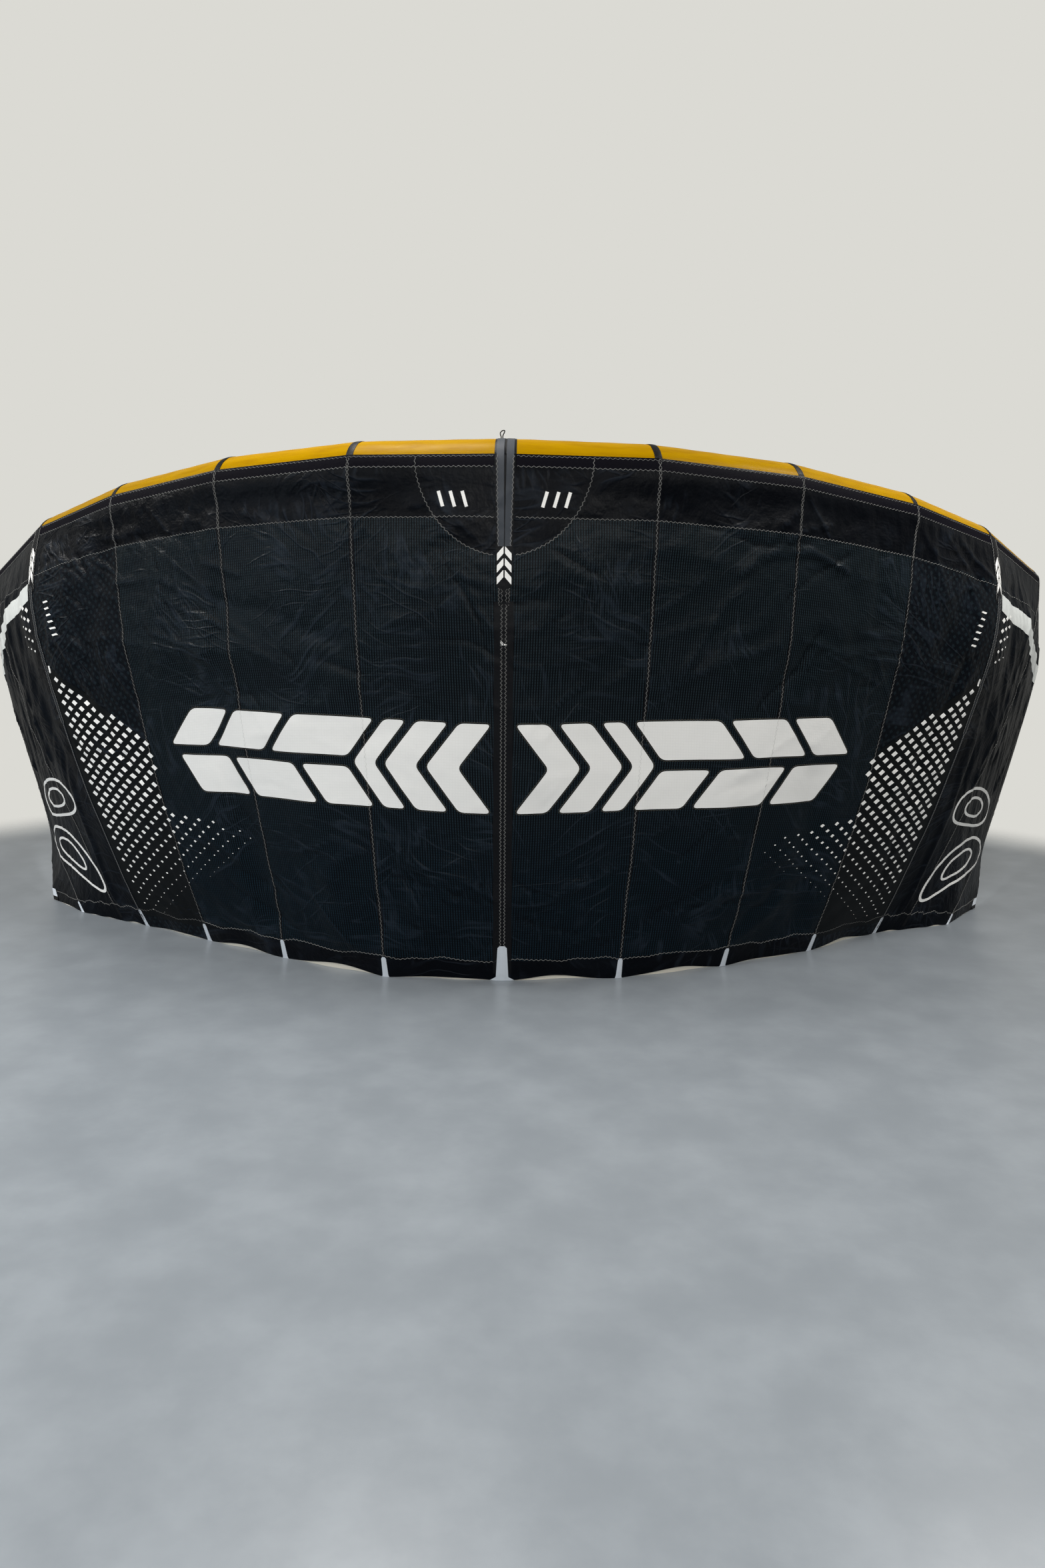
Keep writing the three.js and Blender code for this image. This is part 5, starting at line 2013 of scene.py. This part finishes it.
@dataclass
class Halftone(Trim):
    """White rhombi printed beside the struts in slanted rows, smaller towards the middle and the foot."""

    first: float = 47 * MM          # from the seam to the first column
    column: float = 27 * MM
    pitch: float = 39.5 * MM        # down a column
    rise: float = 15.5 * MM         # how much higher each next column starts
    head: float = 0.534             # height of the row that the others are counted from
    long_side: Pair = (13.4 * MM, 12.0 * MM)
    short_side: Pair = (12.6 * MM, -7.2 * MM)
    lift: float = 0.4 * MM
    thick: float = 0.9 * MM
    inner: float = 2.985            # inner and outer edge of the darker ground, as stations
    outer: float = 3.975
    # row beside the strut and size there
    fading: tuple[Pair, ...] = ((0.71, 1), (0.80, 0.78), (0.865, 0.54), (0.91, 0.36), (0.965, 0.16),
                                (0.99, 0.05))

    def build(self) -> None:
        """Lay the rhombi on both sides."""
        for suffix, side in SIDES:
            dots = self._main(side) + self._outer(side)
            add_piece(f"halftone_{suffix}", joined(dots), self.finishes.print)
            self._ground(suffix, side)

    def _size(self, side_station: float, row: float) -> float:
        """Size of a rhombus at a place, from 0 to 1."""
        outer_top = np.interp(side_station, [2.97, 3.6, 3.9], [0.54, 0.425, 0.35])
        inner_top = np.interp(side_station, [2.15, 2.5, 2.98], [0.728, 0.702, 0.688])
        top = inner_top if side_station < 2.98 else outer_top
        if row < top or row > 0.952 or side_station < 2.12:
            return 0.0
        return float(np.interp(row + 0.13 * (3.85 - side_station), *zip(*self.fading)))

    def _main(self, side: int) -> list[Mesh]:
        """The large field from the strut to the second panel."""
        wing = self.skin.wing
        seam_y = np.linspace(0, 1.5, 61)
        seam_x = wing.across(np.full(61, STRUT_SEAM * side), seam_y / wing.chord_length(STRUT_SEAM))
        j, i = (places.ravel() for places in np.meshgrid(np.arange(29), np.arange(46), indexing="ij"))
        y = self.head + self.pitch * (i - 12) + (self.rise * -j) % self.pitch
        x = side * (np.abs(np.interp(y, seam_y, seam_x)) - self.first - self.column * j)
        plates = []
        for s, v in zip(*(places.tolist() for places in Cutter(self.skin).place(x, y))):
            size = self._size(abs(s), v)
            if size > 0.06:
                plates.append(self._rhombus(s, v, size, side))
        return plates

    def _outer(self, side: int) -> list[Mesh]:
        """A few small rhombi on the tip, beside the strut's seam."""
        places = [
            (4.11 + 0.066 * j, 0.197 + 0.0255 * i - 0.008 * j, i + j)
            for i in range(5) for j in range(3)
        ]
        return [self._rhombus(side * s, v, 1 - 0.13 * k, side) for s, v, k in places]

    def _rhombus(self, station: float, row: float, size: float, side: int) -> Mesh:
        """One rhombus as a thin plate.

        Args:
            station: Station of its middle.
            row: Chord fraction of its middle.
            size: Its size, from 0 to 1.
            side: -1 on the left, 1 on the right.

        Returns:
            The mesh.
        """
        steps = 4 if size > 0.6 else 2
        a, b = np.meshgrid(*[np.linspace(-0.5, 0.5, steps + 1)] * 2)
        x = -side * (a * self.long_side[0] + b * self.short_side[0]) * size
        y = (a * self.long_side[1] + b * self.short_side[1]) * size
        there, place = self.skin.walk(np.full_like(x, station), np.full_like(x, row), x, y)
        return slab_on(self.skin, there, place, self.lift, self.thick, np.stack([x, y], -1))

    def _ground(self, suffix: str, side: int) -> None:
        """The darker printed ground under the rhombi."""
        rows = np.linspace(0.345, 0.968, 100)
        top = np.interp(rows, [0.345, 0.42, 0.54], [3.93, 3.60, self.inner])
        inner = np.where(rows > 0.54, self.inner, top)[:, None]
        station = side * (inner + (self.outer - inner) * np.linspace(0, 1, 44))
        row = rows[:, None] * np.ones_like(station)
        flat = np.stack([self.skin.wing.across(station, row), row * 1.5], -1)
        mesh = slab_on(self.skin, station, row, 0.05 * MM, 0.45 * MM, flat)
        add_piece(f"halftone_ground_{suffix}", mesh, self.finishes.shade)


@dataclass
class BandDesign(Trim):
    """White sewn-on shapes across the middle: chevrons near the seam, slanted bars outside them."""

    height: float = 256 * MM
    stroke: float = 92 * MM
    gap: float = 32 * MM
    slope: float = 96 * MM
    start: float = 34 * MM
    radius: float = 16 * MM
    lift: float = 0.1 * MM
    thick: float = 1.0 * MM
    stitch: Stitch = Stitch(9 * MM, 1.6 * MM, 1.5 * MM, 0.8 * MM)

    def build(self) -> None:
        """Cut and sew every shape."""
        cutter = Cutter(self.skin)
        for suffix, side in SIDES:
            plates, threads = [], []
            for shape in self._shapes():
                flat = self._dropped(rounded(shape, self.radius) * (side, 1))
                plates.append(cutter.plate(flat, self.lift, self.thick))
                edge = cutter.outline_line(grown(flat, 3.5 * MM))
                threads.append(self.stitch.sew(edge, lift=self.lift))
            add_piece(f"band_design_{suffix}", joined(plates), self.finishes.white)
            add_piece(f"band_edging_{suffix}", joined(threads), self.finishes.dark_thread)

    def _shapes(self) -> list[list[Pair]]:
        """Outlines of the right side: x outwards from the seam, y up from the band's middle."""
        top, gap = self.height / 2, self.gap
        shapes = []
        x = self.start
        for stroke in (self.stroke, self.stroke, self.stroke * 0.7):
            shapes.append([(x, top), (x + stroke, top), (x + stroke + self.slope, 0), (x + stroke, -top),
                           (x, -top), (x + self.slope, 0)])
            x += stroke + gap
        middle = gap / 2
        lean = self.slope * (top - middle) / top
        for up, lengths in ((1, (260, 190, 140)), (-1, (150, 225, 180))):
            start = x
            for length in lengths:
                end = start + length * MM
                shapes.append([(start, up * top), (end, up * top), (end + lean, up * middle),
                               (start + lean, up * middle)])
                start = end + gap
        return shapes

    def _dropped(self, outline: Array) -> Array:
        """The outline in flat places of the cloth, hung on the band's middle line."""
        station = outline[:, 0] / (397 * MM)
        middle = 0.568 - 0.0021 * station**2
        return np.stack([outline[:, 0], middle * self.skin.wing.chord_length(station) - outline[:, 1]], -1)


@dataclass
class TipTrim(Trim):
    """Silver bands and outlined shapes on the tips, small labels and dashes by the struts."""

    # station, upper row and lower row of the silver band
    upper: tuple[Pair, ...] = ((4.06, 0.136), (4.32, 0.147), (4.56, 0.153), (4.82, 0.175), (5.10, 0.185),
                               (5.45, 0.178), (5.75, 0.172), (6.50, 0.160), (7.25, 0.156))
    lower: tuple[Pair, ...] = ((4.06, 0.176), (4.24, 0.189), (4.56, 0.199), (4.73, 0.207), (5.00, 0.225),
                               (5.35, 0.230), (5.75, 0.222), (6.50, 0.205), (7.25, 0.190))
    # middle, half width in stations, half height in rows and tilt of the outlined shapes
    shapes: tuple[tuple[float, ...], ...] = (
        (5.38, 0.645, 0.80, 0.052, 0.03), (5.98, 0.790, 1.02, 0.080, 0.09),
    )
    # middle, width and height in mm of the labels
    labels: tuple[tuple[float, ...], ...] = (
        (0, 0.328, 17, 27), (3.95, 0.355, 10, 24), (-3.95, 0.350, 10, 24),
        (7.6, 0.385, 16, 16), (-7.6, 0.385, 16, 16),
    )

    def build(self) -> None:
        """Make the trim of both tips."""
        for suffix, side in SIDES:
            self._band(suffix, side)
            self._outlines(suffix, side)
            self._dashes(suffix, side)
        labels = [self._bar(*label, 0, 1) for label in self.labels]
        add_piece("labels", joined(labels), self.finishes.print)

    def _band(self, suffix: str, side: int) -> None:
        """The silver band that runs outwards and down from the strut."""
        part = np.linspace(0, 1, 300)
        knots = np.linspace(0, 1, len(self.upper))
        upper, lower = (
            np.array([np.interp(part, knots, values) for values in zip(*edge)])[:, None]
            for edge in (self.upper, self.lower)
        )
        station, row = upper + (lower - upper) * np.linspace(0, 1, 16)[:, None]
        station = station * side
        flat = np.stack([self.skin.wing.across(station, row), row * 1.4], -1)
        mesh = slab_on(self.skin, station, row, 0.4 * MM, 0.7 * MM, flat)
        add_piece(f"tip_band_{suffix}", mesh, self.finishes.silver)

    def _outlines(self, suffix: str, side: int) -> None:
        """Outlined rounded shapes, one inside the other, in two places on each tip."""
        meshes = []
        turn = np.linspace(0, 2 * math.pi, 193)
        out, down = (np.sign(wave) * np.abs(wave) ** 0.85 for wave in (np.cos(turn), np.sin(turn)))
        for station, row, wide, tall, tilt in self.shapes:
            for scale, width in ((1.0, 5.5), (0.5, 5.0)):
                edge = out * wide * scale
                line = Line(self.skin, side * (station + edge), row + down * tall * scale - tilt * edge, 3)
                meshes.append(ribbon(line, width * MM, 0.1 * MM, 0.9 * MM, 2, 6 * MM))
        add_piece(f"tip_outlines_{suffix}", joined(meshes), self.finishes.print)

    def _dashes(self, suffix: str, side: int) -> None:
        """A short row of slanted dashes by the strut and another on the centre patch."""
        row = [self._bar(side * (3.80 - 0.012 * k), 0.195 + 0.016 * k, 24, 6, 6, side) for k in range(6)]
        row += [self._bar(side * (0.255 + 0.075 * k), 0.080, 9, 42, 12, side) for k in range(3)]
        add_piece(f"dashes_{suffix}", joined(row), self.finishes.print)

    def _bar(self, station: float, row: float, wide: float, tall: float, lean: float, side: int) -> Mesh:
        """A small slanted bar.

        Args:
            station: Station of its middle.
            row: Chord fraction of its middle.
            wide: Its width, in mm.
            tall: Its height, in mm.
            lean: How far its top leans, in mm.
            side: -1 on the left, 1 on the right.

        Returns:
            The mesh.
        """
        a, b = np.meshgrid(np.linspace(-0.5, 0.5, 4), np.linspace(-0.5, 0.5, 5))
        x = (a * wide - b * lean) * MM * side
        y = (b * tall + a * lean * 0.2) * MM
        there, place = self.skin.walk(np.full_like(x, station), np.full_like(x, row), x, y)
        return slab_on(self.skin, there, place, 0.3 * MM, 0.35 * MM, np.stack([x, y], -1))


@dataclass
class TopLoop:
    """The small loop of cord on top of the centre band."""

    finishes: Finishes
    wire: float = 3.0 * MM
    length: float = 52 * MM
    points: tuple[Pair, ...] = (
        (-2.5, 1.0), (-1.6, 5.0), (-4.6, 10.5), (-5.2, 15.5), (-1.5, 20.5), (4.0, 23.2), (8.0, 22.0),
        (7.2, 17.5), (3.8, 12.5), (1.9, 7.0), (2.5, 1.0),
    )

    def build(self) -> None:
        low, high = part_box("cord_loop")
        centre = [(low[k] + high[k]) / 2 for k in range(3)]
        curve = bpy.data.curves.new("top_loop", "CURVE")
        curve.dimensions = "3D"
        curve.bevel_depth = self.wire / 2
        curve.bevel_resolution = 5
        curve.resolution_u = 10
        curve.use_fill_caps = True
        spline = curve.splines.new("NURBS")
        spline.points.add(len(self.points) - 1)
        spline.use_endpoint_u = True
        spline.order_u = 4
        places = [(centre[0] + x * MM, centre[1], low[2] + z * MM) for x, z in self.points]
        for point, place in zip(spline.points, places):
            point.co = (*place, 1.0)
        curve.materials.append(self.finishes.cord)
        piece = bpy.data.objects.new("top_loop", curve)
        bpy.context.scene.collection.objects.link(piece)
        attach(piece, BODY)
        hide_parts("cord_loop")
        LOG.info("top_loop: cord")


# ---- the room -----------------------------------------------------------------------------------
@dataclass
class View:
    """The camera, at a standing person's chest height in front of the kite."""

    place: Triple = (0.1076, -3.2305, 1.1191)
    yaw: float = -0.9408
    pitch: float = 9.2659
    roll: float = 0.6231
    lens: float = 26.09
    sensor: float = 36.0

    def build(self) -> None:
        """Make the camera."""
        yaw, pitch, roll = (math.radians(angle) for angle in (self.yaw, self.pitch, self.roll))
        ahead = Vector((math.sin(yaw) * math.cos(pitch), math.cos(yaw) * math.cos(pitch), -math.sin(pitch)))
        right = Vector((math.cos(yaw), -math.sin(yaw), 0))
        up = right.cross(ahead)
        tilted_right = right * math.cos(roll) + up * math.sin(roll)
        tilted_up = up * math.cos(roll) - right * math.sin(roll)
        data = bpy.data.cameras.new("camera")
        data.lens = self.lens
        data.sensor_width = self.sensor
        data.sensor_height = self.sensor
        data.clip_end = 60
        camera = bpy.data.objects.new("camera", data)
        turn = Matrix((tilted_right, tilted_up, -ahead)).transposed().to_4x4()
        camera.matrix_world = Matrix.Translation(self.place) @ turn
        bpy.context.scene.collection.objects.link(camera)
        bpy.context.scene.camera = camera


@dataclass
class Studio:
    """A pale floor that fades into the surroundings, and a grid of flat ceiling lights."""

    wall: str = "#dbdad4"
    floor: str = "#80868c"
    scuffed: str = "#a3a9af"
    fade: Pair = (2.9, 3.5)
    size: float = 10.0
    ceiling: float = 2.75
    panel: float = 0.6
    power: float = 23.0
    columns: tuple[Pair, ...] = ((-2.9, 1.7), (-0.5, 1.0), (1.9, 1.35))     # x and share of the power
    rows: tuple[Pair, ...] = ((0.26, 1.25), (-2.14, 1.1), (-4.54, 0.3))     # y and share of the power
    ambient: Triple = (0.15, 0.58, 0.50)    # ahead, behind the kite, overhead
    window: float = 17.0
    front: float = 52.0

    def build(self) -> None:
        """Make the floor, the surroundings and the lights."""
        bpy.context.scene.view_settings.view_transform = "Standard"
        self._surroundings()
        self._floor()
        for x, part in self.columns:
            for y, share in self.rows:
                power = self.power * share * part
                self._light(f"ceiling_{x}_{y}", (x, y, self.ceiling), self.panel, power, (1.0, 0.985, 0.96))
        self._light("window", (-3.3, -1.4, 1.3), 1.4, self.window, (0.70, 0.85, 1.0), (0, -38))
        self._light("far_room", (0.3, -5.6, 2.2), 2.6, self.front, (1.0, 1.0, 1.0), (82, 0))

    def _surroundings(self) -> None:
        """The wall's colour for the camera, and a softer light that grows to the back and overhead."""
        world = bpy.data.worlds.new("surroundings")
        graph = Graph(world)
        ahead, behind, above = self.ambient
        there = graph.node("ShaderNodeTexCoord").outputs["Generated"]
        axes = graph.node("ShaderNodeSeparateXYZ", {0: there}).outputs
        level = graph.ramp(axes["Y"], -0.2, 0.5, ahead, behind, "LINEAR")
        sky = graph.ramp(axes["Z"], 0.0, 0.8, level, above, "LINEAR")
        seen = graph.node("ShaderNodeLightPath").outputs["Is Camera Ray"]
        graph.feed(graph.shader.inputs["Color"], colour(self.wall))
        graph.feed(graph.shader.inputs["Strength"], graph.ramp(seen, 0.0, 1.0, sky, 1.0, "LINEAR"))
        bpy.context.scene.world = world

    def _floor(self) -> None:
        """The floor, which fades out far from the kite."""
        half = self.size / 2
        data = bpy.data.meshes.new("floor")
        corners = [(-half, -half, 0), (half, -half, 0), (half, half, 0), (-half, half, 0)]
        data.from_pydata(corners, [], [(0, 1, 2, 3)])
        floor = bpy.data.objects.new("floor", data)
        floor.location.z = -0.5 * MM
        bpy.context.scene.collection.objects.link(floor)
        graph = Graph.paint("floor_paint", Specular_IOR_Level=0.35, Roughness=0.30)
        place = graph.node("ShaderNodeNewGeometry").outputs["Position"]
        mottle = graph.ramp(graph.noise(place, 5.0, 5.0, 0.6), 0.3, 0.8, 0.0, 0.35)
        graph.feed(graph.shader.inputs["Base Color"], graph.mix(mottle, self.floor, self.scuffed))
        away = graph.node("ShaderNodeVectorMath", {0: place}, operation="LENGTH").outputs["Value"]
        clear = graph.node("ShaderNodeBsdfTransparent").outputs[0]
        inputs = {0: graph.ramp(away, *self.fade), 1: graph.shader.outputs[0], 2: clear}
        mixed = graph.node("ShaderNodeMixShader", inputs).outputs[0]
        graph.feed(graph.nodes["Material Output"].inputs["Surface"], mixed)
        data.materials.append(graph.owner)

    def _light(self, name: str, place: Triple, size: float, power: float, tint: Triple,
               tilt: Pair = (0, 0)) -> None:
        """One square light, shining down.

        Args:
            name: Its name.
            place: Where it hangs.
            size: Its side, in metres.
            power: Its power, in watts.
            tint: Its colour.
            tilt: Degrees it is turned about X and Y.
        """
        data = bpy.data.lights.new(name, "AREA")
        data.shape = "SQUARE"
        data.size = size
        data.energy = power
        data.color = tint
        light = bpy.data.objects.new(name, data)
        light.location = place
        light.rotation_euler = (math.radians(tilt[0]), math.radians(tilt[1]), 0)
        light.visible_camera = False
        bpy.context.scene.collection.objects.link(light)


def main() -> None:
    """Build the kite and its room in order."""
    logging.basicConfig(level=logging.INFO, format="%(message)s")
    View().build()
    finishes = Finishes()
    TopLoop(finishes).build()
    wing = Wing()
    skin = Skin(wing)
    LOG.info("cloth: %d rows, %d columns", len(skin.rows), len(skin.columns))
    Canopy(skin, finishes).build()
    LeadingEdge(wing, finishes).build()
    for name, at, root, end in STRUTS:
        Strut(name, at, root * MM, end * MM, wing, finishes).build()
    TrailingEdge(skin, finishes).build()
    CentreSeam(skin, finishes).build()
    Chevrons(skin, finishes, "centre_chevrons", 0.0, 0.163, 0.225).build()
    for suffix, side in SIDES:
        OuterSeam(skin, finishes, suffix, side).build()
    for trim in (SeamTapes, Stitching, Halftone, BandDesign, TipTrim):
        trim(skin, finishes).build()
    Studio().build()


if __name__ == "__main__":
    main()
